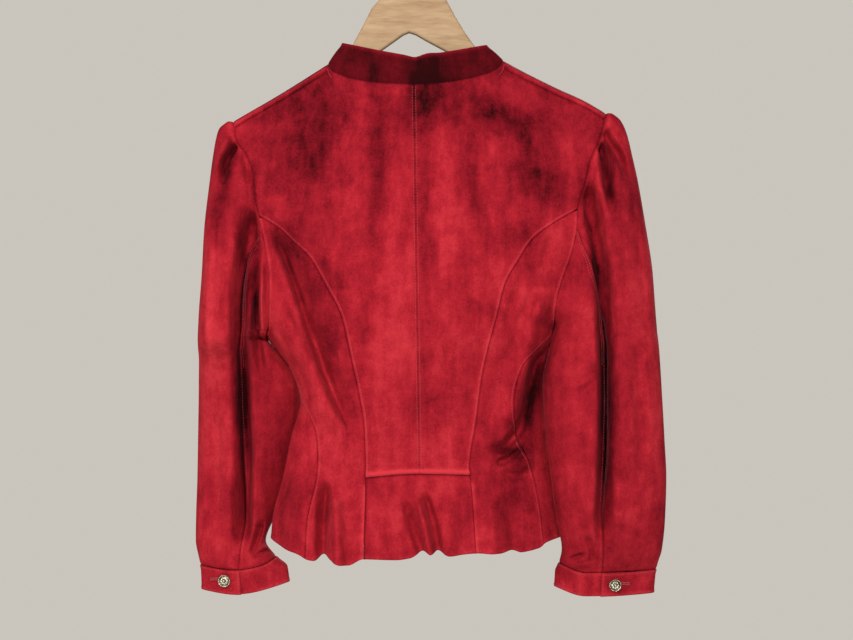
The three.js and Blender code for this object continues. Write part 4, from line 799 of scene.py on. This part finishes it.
def suede_material(name, shade=0.0, gain=1.0):
    """Napped suede: brushed streaks and clouds, painted shade and highlights from the patch tables,
    a painted highlight on raised edges with painted shade in grooves, and a fine soft pile.
    """
    material, tree, shader = new_material(name)
    even = add_mapping(tree)
    tall = add_mapping(tree, (1, 1, 0.22))
    clouds = add_noise(tree, even, 17, 5, 0.6)
    patches = add_noise(tree, even, 62, 4, 0.65)
    streaks = add_noise(tree, tall, 58, 4, 0.6)
    grain = add_noise(tree, even, 420, 3, 0.7)
    pile = add_noise(tree, even, 1900, 1, 0.6)
    # Base lightness: the brushed patches, with painted shade and highlights from the patch tables.
    value = add_math(tree, "MULTIPLY_ADD", add_attribute(tree, "nap_and_painted_light"), 0.44, 0.53 + shade)
    parts = ((clouds, 0.62), (streaks, 0.66), (patches, 0.50), (grain, 0.40), (pile, 0.26))
    for part, weight in parts:
        centred = add_math(tree, "SUBTRACT", part, 0.5)
        value = add_math(tree, "MULTIPLY_ADD", centred, weight * gain, value)
    # Painted highlight on raised edges and painted shade in grooves and under tucks, from the relief
    # height.
    value = add_math(tree, "MULTIPLY_ADD", add_attribute(tree, "relief"), 0.20, value)
    colour = add_ramp(tree, value, [
        (0.00, (0.020, 0.0005, 0.0012)), (0.14, (0.088, 0.0015, 0.0046)),
        (0.34, (0.190, 0.0044, 0.0115)), (0.58, (0.330, 0.0104, 0.0200)),
        (0.94, (0.540, 0.0310, 0.0430))])
    soft = add_bump(tree, patches, 0.45, 0.0016)
    fine = add_bump(tree, grain, 0.6, 0.0005, soft)
    set_inputs(shader, {
        "Base Color": colour, "Roughness": 0.94, "Specular IOR Level": 0.08,
        "Sheen Weight": 0.08, "Sheen Roughness": 0.35, "Sheen Tint": (1.0, 0.16, 0.22, 1),
        "Normal": add_bump(tree, pile, 0.6, 0.00022, fine),
    })
    return material


def thread_material():
    material, tree, shader = new_material("thread")
    even = add_mapping(tree)
    value = add_noise(tree, even, 700, 2)
    colour = add_ramp(tree, value, [(0.3, (0.22, 0.007, 0.014)), (0.7, (0.48, 0.026, 0.040))])
    set_inputs(shader, {"Base Color": colour, "Roughness": 0.6, "Sheen Weight": 0.3})
    return material


def wood_material():
    """Pale beech: long grain, short dark flecks and a thin varnish."""
    material, tree, shader = new_material("beech")
    along = add_mapping(tree, (3.0, 16, 16))
    flecks = add_mapping(tree, (60, 700, 420))
    grain = add_noise(tree, along, 7, 6, 0.6)
    fleck = add_noise(tree, flecks, 1.0, 2, 0.5)
    centred = add_math(tree, "SUBTRACT", fleck, 0.5)
    value = add_math(tree, "MULTIPLY_ADD", centred, 0.35, grain)
    colour = add_ramp(tree, value, [
        (0.25, (0.29, 0.170, 0.082)), (0.45, (0.37, 0.240, 0.128)), (0.62, (0.42, 0.282, 0.160)),
        (0.85, (0.48, 0.345, 0.210))])
    set_inputs(shader, {
        "Base Color": colour, "Roughness": 0.62, "Specular IOR Level": 0.25,
        "Normal": add_bump(tree, fleck, 0.15, 0.0003),
    })
    return material


def metal_material(name, light, dark, rough, scale):
    material, tree, shader = new_material(name)
    even = add_mapping(tree)
    value = add_noise(tree, even, scale, 4, 0.6)
    pointed = add_node(tree, "NewGeometry", "Pointiness", {})
    raised = add_math(tree, "SUBTRACT", pointed, 0.5)
    value = add_math(tree, "MULTIPLY_ADD", raised, 3.0, value)
    colour = add_ramp(tree, value, [(0.35, dark), (0.62, light)])
    set_inputs(shader, {
        "Base Color": colour, "Metallic": 1.0, "Roughness": rough,
        "Normal": add_bump(tree, value, 0.2, 0.0002),
    })
    return material


def plain_material(name, colour, rough, scale):
    material, tree, shader = new_material(name)
    even = add_mapping(tree)
    value = add_noise(tree, even, scale, 3)
    darker = tuple(channel * 0.965 for channel in colour)
    colour = add_ramp(tree, value, [(0.3, darker), (0.7, colour)])
    set_inputs(shader, {"Base Color": colour, "Roughness": rough})
    return material


suede = suede_material("suede")
suede_collar = suede_material("suede_collar", shade=-0.25, gain=0.45)
suede_under = suede_material("suede_under", shade=-0.03, gain=0.9)
thread = thread_material()
wood = wood_material()
steel = metal_material("steel_wire", (0.62, 0.63, 0.65), (0.42, 0.43, 0.45), 0.28, 90)
old_metal = metal_material("old_metal", (0.62, 0.56, 0.43), (0.045, 0.038, 0.028), 0.36, 260)


# ---------- Edges ----------
def cells(length):
    return max(6, int(round(length / CELL)))


def neck_point(turn, sign, face):
    x = NECK["x"] + sign * NECK["half"] * np.cos(turn)
    z = NECK["z"] + NECK["tilt"] * x - NECK[face] * np.sin(turn)
    return x, np.minimum(z, shoulder_top(x) - RIDGE_GAP)


def turn_at(x, sign):
    return math.acos(sign * (x - NECK["x"]) / NECK["half"])


def shoulder_and_neck(side, face, end_x):
    sign = SIGN[side]
    neck_x = float(neck_point(0.0, sign, face)[0])
    xs = np.linspace(ARMHOLE[side][0, 1], neck_x, 60)
    shoulder = edge_on(face, xs, shoulder_top(xs) - RIDGE_GAP)
    turns = np.linspace(0, 1, 80)[1:] ** 1.4 * turn_at(end_x, sign)
    nx, nz = neck_point(turns, sign, face)
    return np.concatenate([shoulder, edge_on(face, nx, nz)])


def steps(start, end, count):
    return np.linspace(start, end, count + 1)


def steps_via(start, middle, end, upper, rows):
    """`rows` steps from start to end, of which `upper` lead to the middle."""
    return np.concatenate([
        steps(start, middle, upper), steps(middle, end, rows - upper)[1:]])


def side_seam(side):
    inset = curve(SIDE_SEAM[side])
    return lambda z: torso[side](z) - SIGN[side] * inset(z)


# ---------- Torso panels ----------
HEM_AT = {"left": float(hem["back"](-63)), "right": float(hem["back"](68))}
WAIST_AT = {"left": float(waist(-61)), "right": float(waist(60))}
waist_centre = float(centre_back(-643))


def over_shoulder(distance, points):
    """The shoulder seam, which lies a little way down the back, and the groove at the neck."""
    beside = np.abs(points[..., 0] - NECK["x"]) - NECK["half"]
    on_shoulder = smooth((beside + 6) / 12)
    seam = 1.5 * bump(distance, 10.6, 1.9) - 1.2 * bump(distance, 14.0, 1.6)
    return on_shoulder * seam + (1 - on_shoulder) * RELIEF["groove"](distance)


def facing(points, centre):
    """Normals of a grid, turned away from points inside the form."""
    normal = normals_of(points)
    wrong = np.sum(normal * (points - centre), -1).mean() < 0
    return -normal if wrong else normal


def torso_wall(node, grid, kinds, lower=None):
    """Makes a panel of the torso from its grid of angles and heights."""
    points = torso_point(*grid)
    z = grid[1]
    centre = np.stack([(torso["left"](z) + torso["right"](z)) / 2, 0 * z, z], -1)
    return build_wall(node, points, kinds, suede, facing(points, centre), lower)


def build_back(side):
    sign = SIGN[side]
    start = PRINCESS_START[side]
    tip = float(shoulder_top(ARMHOLE[side][0, 1])) - RIDGE_GAP
    rows = cells(tip - WAIST_AT[side])
    columns = cells(GRID_WIDTH["back"])

    def outer_x(z):
        return np.where(z > start, armhole[side](z), princess[side](z))

    neck_x = float(centre_back(NECK_SEAM_Z))
    top = resample(shoulder_and_neck(side, "back", neck_x), columns)
    waist_xs = np.linspace(float(princess[side](WAIST_AT[side])), waist_centre, 80)
    bottom = resample(edge_on("back", waist_xs, waist(waist_xs)), columns)
    centre_top = float(neck_point(turn_at(neck_x, sign), sign, "back")[1])
    grid = patch(
        angle_on(outer_x), angle_on(centre_back), steps(tip, WAIST_AT[side], rows),
        steps(centre_top, float(waist(waist_centre)), rows), top, bottom)

    def outer_edge(distance, at):
        lapped = smooth((start + 6 - at[..., 2]) / 14)
        return lapped * RELIEF["ridge"](distance) + (1 - lapped) * RELIEF["groove"](distance)

    panel = torso_wall("back_" + side, grid, {
        "left": outer_edge, "right": "groove", "top": over_shoulder, "bottom": "pinch"})
    fraction = (tip - start) / (tip - WAIST_AT[side])
    topstitch(panel, "left", (2.6,), fraction + 0.01, 1.0)
    topstitch(panel, "right", (2.0,), 0.01, 0.985)
    topstitch(panel, "bottom", (2.4,), 0.02, 0.98)
    topstitch(panel, "top", (9.8,), 0.01, 0.60)    # as far as the neck


def build_side_back(side):
    seam = side_seam(side)
    hem_seam = float(hem["back"](seam(HEM_LEVEL)))
    start = PRINCESS_START[side] - 3.0

    def outer_x(z):
        return np.where(z > ARMPIT[side], armhole[side](z), seam(z))

    rows = cells(start - HEM_AT[side])
    columns = cells(GRID_WIDTH["side_back"])
    upper = cells(start - ARMPIT[side])
    top_xs = np.linspace(float(princess[side](start)), float(armhole[side](start)), 30)
    bottom_xs = np.linspace(float(princess[side](HEM_AT[side])), float(seam(hem_seam)), 80)
    grid = patch(
        angle_on(princess[side]), angle_on(outer_x),
        steps_via(start, ARMPIT[side], HEM_AT[side], upper, rows),
        steps_via(start, ARMPIT[side], hem_seam, upper, rows),
        resample(edge_on("back", top_xs, start), columns),
        resample(edge_on("back", bottom_xs, hem["back"](bottom_xs)), columns))

    def princess_edge(distance, at):
        open_slit = smooth((WAIST_AT[side] - 4 - at[..., 2]) / 8)
        opened = RELIEF["hem"](distance) + 0.9 * bump(distance, 0, 5)
        return mix(RELIEF["sunk"](distance), opened, open_slit)

    def outer_edge(distance, at):
        below = smooth((ARMPIT[side] - at[..., 2]) / 14)
        return mix(RELIEF["ridge"](distance), RELIEF["pressed"](distance), below)

    panel = torso_wall("side_back_" + side, grid, {
        "left": princess_edge, "right": outer_edge, "bottom": "hem"})
    armpit_share = upper / rows
    topstitch(panel, "right", (2.4,), armpit_share + 0.02, 0.99)
    topstitch(panel, "right", (3.0,), 0.06, armpit_share - 0.02)


def build_front(side):
    sign = SIGN[side]
    seam = side_seam(side)
    hem_seam = float(hem["back"](seam(HEM_LEVEL)))
    turned = 2 * np.pi if sign > 0 else 0.0
    edge_x = -FRONT_LAP * sign
    tip = float(shoulder_top(ARMHOLE[side][0, 1])) - RIDGE_GAP

    def outer_angle(z):
        return np.where(
            z > ARMPIT[side],
            torso_angle(armhole[side](z), z, "front"),
            torso_angle(seam(z), z, "back") + turned)

    rows = cells(tip - hem_seam)
    upper = cells(tip - ARMPIT[side])
    columns = cells(GRID_WIDTH["front"])
    end_turn = turn_at(edge_x, sign)
    front_top = float(neck_point(end_turn, sign, "front")[1])
    top = resample(shoulder_and_neck(side, "front", edge_x), columns)
    turn_x = float(torso[side](FRONT_TURN_Z)) - sign
    round_xs = np.linspace(float(seam(hem_seam)), turn_x, 30)
    front_xs = np.linspace(turn_x, edge_x, 120)
    bottom = resample(np.concatenate([
        edge_on("back", round_xs, hem["back"](round_xs), turned),
        edge_on("front", front_xs, hem["front"](front_xs))[1:]]), columns)
    left_heights = steps_via(tip, ARMPIT[side], hem_seam, upper, rows)
    fall = (tip - left_heights) / (tip - hem_seam)
    grid = patch(
        outer_angle, angle_on(lambda z: edge_x + 0 * z, "front"),
        left_heights, mix(front_top, float(hem["front"](edge_x)), fall), top, bottom)

    def neck_edge(distance, at):
        beside = np.abs(at[..., 0] - NECK["x"]) - NECK["half"]
        return (1 - smooth((beside + 6) / 12)) * RELIEF["groove"](distance)

    def lapped(at):
        return LAP_STEP * smooth((at[..., 0] + 75) / 30) if side == "left" else 0 * at[..., 0]

    panel = torso_wall("front_" + side, grid, {
        "left": "sunk", "right": "hem", "top": neck_edge, "bottom": "hem"}, lapped)
    topstitch(panel, "right", (2.6,), 0.01, 0.99)
    topstitch(panel, "left", (2.6,), 0.05, upper / rows - 0.02)


def build_peplum():
    rows = cells(WAIST_AT["left"] - HEM_AT["left"])
    columns = cells(GRID_WIDTH["peplum"])
    start, end = (float(princess[side](WAIST_AT[side])) for side in ("left", "right"))
    top_xs = np.linspace(start, end, 80)
    low_start, low_end = (float(princess[side](HEM_AT[side])) for side in ("left", "right"))
    bottom_xs = np.linspace(low_start, low_end, 200)
    grid = patch(
        angle_on(princess["left"]), angle_on(princess["right"]),
        steps(WAIST_AT["left"], HEM_AT["left"], rows),
        steps(WAIST_AT["right"], HEM_AT["right"], rows),
        resample(edge_on("back", top_xs, waist(top_xs)), columns),
        resample(edge_on("back", bottom_xs, hem["back"](bottom_xs)), columns))
    torso_wall("peplum_back", grid, {
        "left": "sunk", "right": "hem", "top": "sunk", "bottom": "hem"})


# ---------- Sleeves ----------
def cuff_z(side, angle):
    x = sleeve_section(side, angle, CUFF[side]["top"])[0]
    return CUFF[side]["top"] + cuff_rise[side](x)


def sleeve_wall(node, side, grid, kinds, material):
    """Makes a panel of a sleeve from its grid of angles and heights."""
    points = sleeve_point(side, *grid)
    z = grid[1]
    middle = (sleeve[side]["outer"](z) + sleeve[side]["inner"](z)) / 2
    centre = np.stack([middle, sleeve[side]["mid_y"](z), z], -1)
    return build_wall(node, points, kinds, material, facing(points, centre))


def build_sleeve(side):
    sign = SIGN[side]
    tip = float(shoulder_top(ARMHOLE[side][0, 1])) - CAP_TOP
    notch = mix(PRINCESS_START[side], ARMPIT[side] + 3, NOTCH_SHARE)

    def edge_x(z):
        return armhole[side](z) - sign * TUCK * smooth((z - ARMPIT[side] - 8) / 12)

    def hind_x(z):
        low = mix(edge_x(notch), hind_seam[side](z), smooth((notch - z) / 12))
        return np.where(z > notch, edge_x(z), low)

    def fore_x(z):
        free = mix(sleeve[side]["inner"](z), sleeve[side]["outer"](z), FORE_SHARE)
        low = mix(edge_x(notch), free, smooth((notch - z) / 90))
        return np.where(z > notch, edge_x(z), low)

    def hind_angle(z):
        return sleeve_angle(side, hind_x(z), z, "back")

    def fore_angle(z):
        return sleeve_angle(side, fore_x(z), z, "front")

    def unwound(z):
        return fore_angle(z) - 2 * np.pi

    top_z = CUFF[side]["top"]
    hind_end = float(cuff_z(side, hind_angle(top_z)))
    fore_end = float(cuff_z(side, fore_angle(top_z)))
    cap_rows = cells(tip - notch)
    arm_rows = cells(notch - hind_end)
    columns = cells(GRID_WIDTH["upper"])
    cap = steps(tip, notch, cap_rows)
    hind_low = steps(notch, hind_end, arm_rows)
    fore_low = steps(notch, fore_end, arm_rows)
    top_angles = steps(float(hind_angle(tip)), float(unwound(tip)), columns)
    low_angles = steps(float(hind_angle(hind_end)), float(unwound(fore_end)), columns)
    grid = patch(
        hind_angle, unwound,
        np.concatenate([cap, hind_low[1:]]), np.concatenate([cap, fore_low[1:]]),
        np.stack([top_angles, np.full(columns + 1, tip)], -1),
        np.stack([low_angles, cuff_z(side, low_angles)], -1))

    def cap_edge(distance, at):
        head = smooth((at[..., 2] - notch) / 20)
        puffed = bump(distance, 7, 4) + RELIEF["tucked"](distance)
        return mix(RELIEF["groove"](distance), puffed, head)

    sleeve_wall("sleeve_upper_" + side, side, grid, {
        "left": cap_edge, "right": cap_edge, "bottom": "sunk"}, suede)

    edge_down = np.linspace(notch, ARMPIT[side], 120)
    edge_up = edge_down[::-1][1:]
    top_edge = np.concatenate([
        np.stack([sleeve_angle(side, edge_x(edge_down), edge_down, "back"), edge_down,
                  edge_x(edge_down)], -1),
        np.stack([sleeve_angle(side, edge_x(edge_up), edge_up, "front"), edge_up,
                  2 * float(edge_x(ARMPIT[side])) - edge_x(edge_up)], -1)])
    under_columns = cells(GRID_WIDTH["under"])
    low_angles = steps(float(hind_angle(hind_end)), float(fore_angle(fore_end)), under_columns)
    grid = patch(
        hind_angle, fore_angle, hind_low, fore_low,
        resample(top_edge, under_columns),
        np.stack([low_angles, cuff_z(side, low_angles)], -1))
    panel = sleeve_wall("sleeve_under_" + side, side, grid, {
        "left": "ridge", "right": "groove", "top": "tucked", "bottom": "sunk"}, suede_under)
    topstitch(panel, "left", (2.2, 7.0), 0.0, 0.40)
    topstitch(panel, "left", (2.2,), 0.40, 0.80)


def cuff_grid(side, count_across, count_down):
    """Points and normals of a cuff: a band round the wrist that ends under itself."""
    top = CUFF[side]["top"]
    slit = float(sleeve_angle(side, hind_seam[side](top), top, "back"))
    wide = float(sleeve[side]["outer"](CUFF_MIDDLE) - sleeve[side]["inner"](CUFF_MIDDLE))
    whole = 2 * np.pi + CUFF_LAP / (abs(wide) / 2)
    along = np.linspace(0, 1, count_across + 1)[None, :] * whole
    turn = np.mod(slit - along, 2 * np.pi)
    down = np.linspace(0, 1, count_down + 1)[:, None]
    rise = cuff_z(side, turn) - top
    z = mix(top - 0.3, CUFF[side]["bottom"], down) + rise
    turn = turn + 0 * z
    points = sleeve_point(side, turn, z)
    normal = surface_normal(sleeve_surface(side), turn, z)
    settle = 0.9
    step = smooth(1 - along / settle) - smooth(1 - (2 * np.pi - along) / settle)
    return points + normal * (LAP_STEP / 2 * step)[..., None], normal


def surface_normal(point_at, turn, z):
    """Outward normals of a surface that `point_at` gives from an angle and a height."""
    along = point_at(turn + TURN_STEP, z) - point_at(turn - TURN_STEP, z)
    up = point_at(turn, z + 1) - point_at(turn, z - 1)
    normal = np.cross(along, up)
    normal /= np.maximum(np.linalg.norm(normal, axis=-1, keepdims=True), 1e-9)
    out = point_at(turn, z) - point_at(turn + np.pi, z)
    return np.where(np.sum(normal * out, -1, keepdims=True) < 0, -normal, normal)


def build_cuff(side):
    points, normal = cuff_grid(side, cells(GRID_WIDTH["cuff"]) * 2, cells(BAND_HEIGHT) * 2)
    panel = build_wall("cuff_" + side, points, {
        "left": "hem", "right": "plain", "top": "hem", "bottom": "hem"}, suede, normal)
    topstitch(panel, "top", (2.0,), 0.0, 0.9)
    topstitch(panel, "bottom", (2.2,), 0.0, 0.9)
    topstitch(panel, "left", (2.4,), 0.05, 0.95)


# ---------- Collar ----------
def build_collar():
    quarters = []
    for sign, face, order in ((-1, "front", -1), (-1, "back", 1), (1, "back", -1), (1, "front", 1)):
        end = math.pi / 2 - COLLAR_OPENING
        if face == "back":
            end = turn_at(float(centre_back(NECK_SEAM_Z)), sign)
        turns = np.linspace(0, 1, cells(GRID_WIDTH["collar"])) ** 1.3 * end
        quarters.append([(turn, sign, face) for turn in turns[::order]])
    stations = quarters[0] + quarters[1][1:] + quarters[2][1:] + quarters[3][1:]
    rows = cells(BAND_HEIGHT) * 2
    points = np.zeros((rows + 1, len(stations), 3))
    normal = np.zeros_like(points)
    form = COLLAR_TOP
    for i, (turn, sign, face) in enumerate(stations):
        x, z = neck_point(turn, sign, face)
        seam = torso_point(torso_angle(x, z, face), z)
        sine, cosine = math.sin(turn), math.cos(turn)
        top_x = form["x"] + sign * form["half"] * cosine
        dip = mix(sine, 1 - cosine ** 1.1, form["bow"][face])
        top_z = form["z"] + form["tilt"] * top_x - form["drop"][face] * dip
        if face == "back":
            top_z += sum(tall * bump(top_x, at, wide) for tall, at, wide in form["waves"])
        top = np.array([top_x, form["y"][face] * sine, top_z])
        outward = np.array([0.6 * sign * cosine, -sine if face == "back" else sine, 0.15])
        outward /= np.linalg.norm(outward)
        for j in range(rows + 1):
            t = 1 - j / rows
            belly = 1.1 * math.sin(math.pi * t) + 0.3 * math.sin(top_x / 14 + 2 * t)
            tuck = 1.9 * (1 - smooth(t / 0.16))
            points[j, i] = mix(seam, top, mix(-0.12, 1, t)) + outward * (belly - tuck)
            normal[j, i] = outward
    build_wall("collar", points, {
        "top": "lip", "bottom": "plain", "left": "hem", "right": "hem",
    }, suede_collar, normal, thickness=COLLAR_WALL)


# ---------- Buttons ----------
def button_mesh(name, radius, height):
    """A domed button: a corded rim, a hollow ring, a small rosette and a bright boss."""
    rings, spokes = 30, 96
    turns = [2 * math.pi * k / spokes for k in range(spokes)]
    verts = [(0, 0, height)]
    faces = []
    for ring in range(1, rings + 1):
        r = ring / rings
        for a in turns:
            dome = 0.34 + 0.62 * math.sqrt(max(0, 1 - (r * 0.98) ** 2))
            cord = 0.16 * bump(r, 0.86, 0.07) * (1 + 0.55 * math.cos(28 * a + 9 * r))
            valley = -0.16 * bump(r, 0.70, 0.06)
            petal = 0.12 * bump(r, 0.46, 0.13) * (0.5 + 0.5 * math.cos(8 * a))
            boss = 0.20 * bump(r, 0, 0.20) - 0.10 * bump(r, 0.27, 0.05)
            h = height * (dome + cord + valley + petal + boss)
            if ring == rings:
                h = height * 0.22
            verts.append((radius * r * math.cos(a), radius * r * math.sin(a), h))
    for ring in (0.97, 0.86):    # the flat back
        verts += [(radius * ring * math.cos(a), radius * ring * math.sin(a), 0.0) for a in turns]
    total = rings + 2
    for k in range(spokes):
        faces.append((0, 1 + k, 1 + (k + 1) % spokes))
    for ring in range(total - 1):
        for k in range(spokes):
            a = 1 + ring * spokes + k
            b = 1 + ring * spokes + (k + 1) % spokes
            faces.append((a, a + spokes, b + spokes, b))
    faces.append(tuple(1 + (total - 1) * spokes + k for k in reversed(range(spokes))))
    mesh = bpy.data.meshes.new(name)
    mesh.from_pydata([(x / 1000, y / 1000, z / 1000) for x, y, z in verts], [], faces)
    return mesh


def add_button(node, point, normal):
    mesh = button_mesh(node, BUTTON["radius"], BUTTON["height"])
    obj = link(mesh, "metal_" + node, old_metal)
    turn = Vector((0, 0, 1)).rotation_difference(Vector(normal))
    matrix = turn.to_matrix().to_4x4()
    matrix.translation = Vector(point + normal * BUTTON["sunk"]) / 1000
    obj.data.transform(matrix)
    stand_for(obj, node)


def build_buttons():
    for side in SIGN:
        x, z = CUFF_BUTTON[side]
        turn, z = np.array([sleeve_angle(side, x, z, "back")]), np.array([z])
        normal = surface_normal(sleeve_surface(side), turn, z)[0]
        point = sleeve_point(side, turn, z)[0] + normal * (LAP_STEP / 2 + BUTTON["clear"])
        add_button("cuff_button_" + side, point, normal)
        add_buttonhole(side)
    count = FRONT_BUTTONS["count"]
    for i in range(count):
        share = i / (count - 1)
        z = np.array([mix(FRONT_BUTTONS["top"], FRONT_BUTTONS["bottom"], share)])
        turn = torso_angle(np.zeros(1), z, "front")
        normal = surface_normal(torso_point, turn, z)[0]
        point = torso_point(turn, z)[0] + normal * BUTTON["clear"]
        add_button("front_button_%d" % (i + 1), point, normal)


def add_buttonhole(side):
    """Close stitches round the slot that shows beside a cuff's button."""
    x, z = CUFF_BUTTON[side]
    sign = SIGN[side]
    hole = BUTTONHOLE
    xs = np.linspace(x + sign * hole["start"], x + sign * hole["end"], hole["stitches"] + 1)
    up = np.array([0, 0, hole["reach"]])
    for offset in (-hole["half"], hole["half"]):
        zs = z + BUTTONHOLE_RISE[side] + offset - hole["lean"] * (xs - x) * sign
        turns = sleeve_angle(side, xs, zs, "back")
        normal = surface_normal(sleeve_surface(side), turns, zs)
        path = sleeve_point(side, turns, zs) + normal * (LAP_STEP / 2 + 0.25)
        for base, out in zip(path[:-1], normal):
            add_stitch([(base - up, out), (base, out), (base + up, out)])


# ---------- Hanger ----------
HANGER_DEPTH = 12.0
HANGER_CLEAR = WALL + 2.1             # below the top of the shoulders
HANGER_ROUND = 0.003                  # metres by which its edges are rounded
HOOK = {"radius": 22, "z": -20, "start": -1.15, "end": 3.5, "wire": 0.002, "points": 49}


def build_hanger():
    left_top, right_top = (
        [(x, float(shoulder_top(x)) - HANGER_CLEAR) for x in xs]
        for xs in ((-206, -190, -160, -136), (132, 160, 190, 208)))
    neck_left = [(-118, -171), (-104, -167), (-92, -156), (-81, -139), (-76, -128),
                 (-68.5, -114.6), (-55, -88), (-40, -72), (-18, -62)]
    neck_right = [(16, -62), (30, -72), (44, -98), (56, -118), (66, -132), (76, -145),
                  (88, -158), (100, -166), (113, -169)]
    under = [(204, -226), (150, -204), (100, -182), (40.5, -144.5), (8, -127), (-3, -120.5),
             (-11, -118), (-18, -121), (-46, -141), (-100, -185), (-150, -212), (-202, -240)]
    outline = left_top + neck_left + neck_right + right_top + under
    build = bmesh.new()
    front = [build.verts.new((x / 1000, -HANGER_DEPTH / 2000, z / 1000)) for x, z in outline]
    face = build.faces.new(front)
    grown = bmesh.ops.extrude_face_region(build, geom=[face])
    moved = [item for item in grown["geom"] if isinstance(item, bmesh.types.BMVert)]
    bmesh.ops.translate(build, verts=moved, vec=(0, HANGER_DEPTH / 1000, 0))
    bmesh.ops.recalc_face_normals(build, faces=build.faces)
    rims = [edge for edge in build.edges if abs(edge.verts[0].co.y - edge.verts[1].co.y) < 1e-6]
    bmesh.ops.bevel(build, geom=rims, offset=HANGER_ROUND, segments=5, profile=0.5, affect="EDGES")
    mesh = bpy.data.meshes.new("hanger_body")
    build.to_mesh(mesh)
    build.free()
    body = link(mesh, "wood_hanger_body", wood)
    stand_for(body, "hanger_body")

    path = [(0, -61.7), (0, -54)]
    for turn in np.linspace(HOOK["start"], HOOK["end"], HOOK["points"]):
        path.append((HOOK["radius"] * math.cos(turn), HOOK["z"] + HOOK["radius"] * math.sin(turn)))
    wire = bpy.data.curves.new("hook_path", "CURVE")
    wire.dimensions = "3D"
    spline = wire.splines.new("POLY")
    spline.points.add(len(path) - 1)
    for point, (x, z) in zip(spline.points, smooth_path(path)):
        point.co = (x / 1000, 0, z / 1000, 1)
    wire.bevel_depth = HOOK["wire"]
    wire.bevel_resolution = 6
    wire.use_fill_caps = True
    temp = bpy.data.objects.new("hook_temp", wire)
    bpy.context.scene.collection.objects.link(temp)
    bpy.context.view_layer.update()
    mesh = bpy.data.meshes.new_from_object(temp.evaluated_get(bpy.context.evaluated_depsgraph_get()))
    bpy.data.objects.remove(temp)
    mesh.materials.clear()
    hook = link(mesh, "steel_hanger_hook", steel)
    stand_for(hook, "hanger_hook")


def smooth_path(path):
    """Rounds the corners of a path of points without moving its ends."""
    points = np.array(path, float)
    for _ in range(6):
        points[1:-1] = 0.25 * points[:-2] + 0.5 * points[1:-1] + 0.25 * points[2:]
    return points


for side_name in SIGN:
    build_back(side_name)
    build_side_back(side_name)
    build_front(side_name)
    build_sleeve(side_name)
    build_cuff(side_name)
build_peplum()
build_collar()
build_buttons()
build_hanger()

stitch_mesh = bpy.data.meshes.new("stitching")
stitch_mesh.from_pydata((np.concatenate(stitch_verts) * 0.001).tolist(), [], stitch_faces)
stitching = link(stitch_mesh, "stitching", thread, rounded=False)
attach(stitching, "root")

# ---------- Floor, light and camera ----------
FLOOR_Z = -1.30
FLOOR_HALF = 2.15                     # the floor ends just below the camera's frame
BACKGROUND = (0.590, 0.560, 0.505, 1)    # what the camera sees past the floor
AMBIENT = 0.30                        # strength of the light from all round


def build_floor():
    corners = [(x * FLOOR_HALF, y * FLOOR_HALF, FLOOR_Z)
               for x, y in ((-1, -1), (1, -1), (1, 1), (-1, 1))]
    mesh = bpy.data.meshes.new("floor")
    mesh.from_pydata(corners, [], [(0, 1, 2, 3)])
    link(mesh, "floor", plain_material("pale_floor", (0.40, 0.38, 0.345), 0.9, 3))


def add_light(name, place, target, size, power, colour):
    data = bpy.data.lights.new(name, "AREA")
    data.shape = "RECTANGLE"
    data.size, data.size_y = size
    data.energy = power
    data.color = colour
    lamp = bpy.data.objects.new(name, data)
    lamp.location = place
    lamp.rotation_euler = (Vector(target) - Vector(place)).to_track_quat("-Z", "Y").to_euler()
    lamp.visible_camera = False
    bpy.context.scene.collection.objects.link(lamp)


build_floor()
add_light("key", (-0.30, -2.6, 0.45), (0.0, 0, -0.52), (0.34, 0.34), 61, (1.0, 0.975, 0.94))
add_light("side", (-2.3, -1.5, 0.5), (0, 0, -0.50), (1.2, 1.2), 22, (1.0, 0.98, 0.96))
add_light("fill", (1.6, -2.8, -0.8), (0, 0, -0.75), (1.8, 1.8), 25, (0.96, 0.975, 1.0))
add_light("front", (1.0, 2.6, 0.7), (0, 0, -0.45), (1.2, 1.2), 62, (1.0, 0.98, 0.96))

world = bpy.data.worlds.new("soft")
world.use_nodes = True
tree = world.node_tree
ambient = tree.nodes["Background"]
set_inputs(ambient, {"Color": (1.0, 0.98, 0.96, 1), "Strength": AMBIENT})
choice = add_node(tree, "MixShader", 0, {
    0: add_node(tree, "LightPath", "Is Camera Ray", {}),
    1: ambient.outputs[0],
    2: add_node(tree, "Background", 0, {"Color": BACKGROUND}),
})
set_inputs(tree.nodes["World Output"], {"Surface": choice})
bpy.context.scene.world = world
bpy.context.scene.view_settings.view_transform = "Standard"

camera_data = bpy.data.cameras.new("camera")
camera_data.sensor_width = 36
camera_data.lens = 66.9
camera = bpy.data.objects.new("camera", camera_data)
camera.location = (0.0099, -1.9, -0.4621)
camera.rotation_euler = (math.pi / 2, 0, 0)
bpy.context.scene.collection.objects.link(camera)
bpy.context.scene.camera = camera
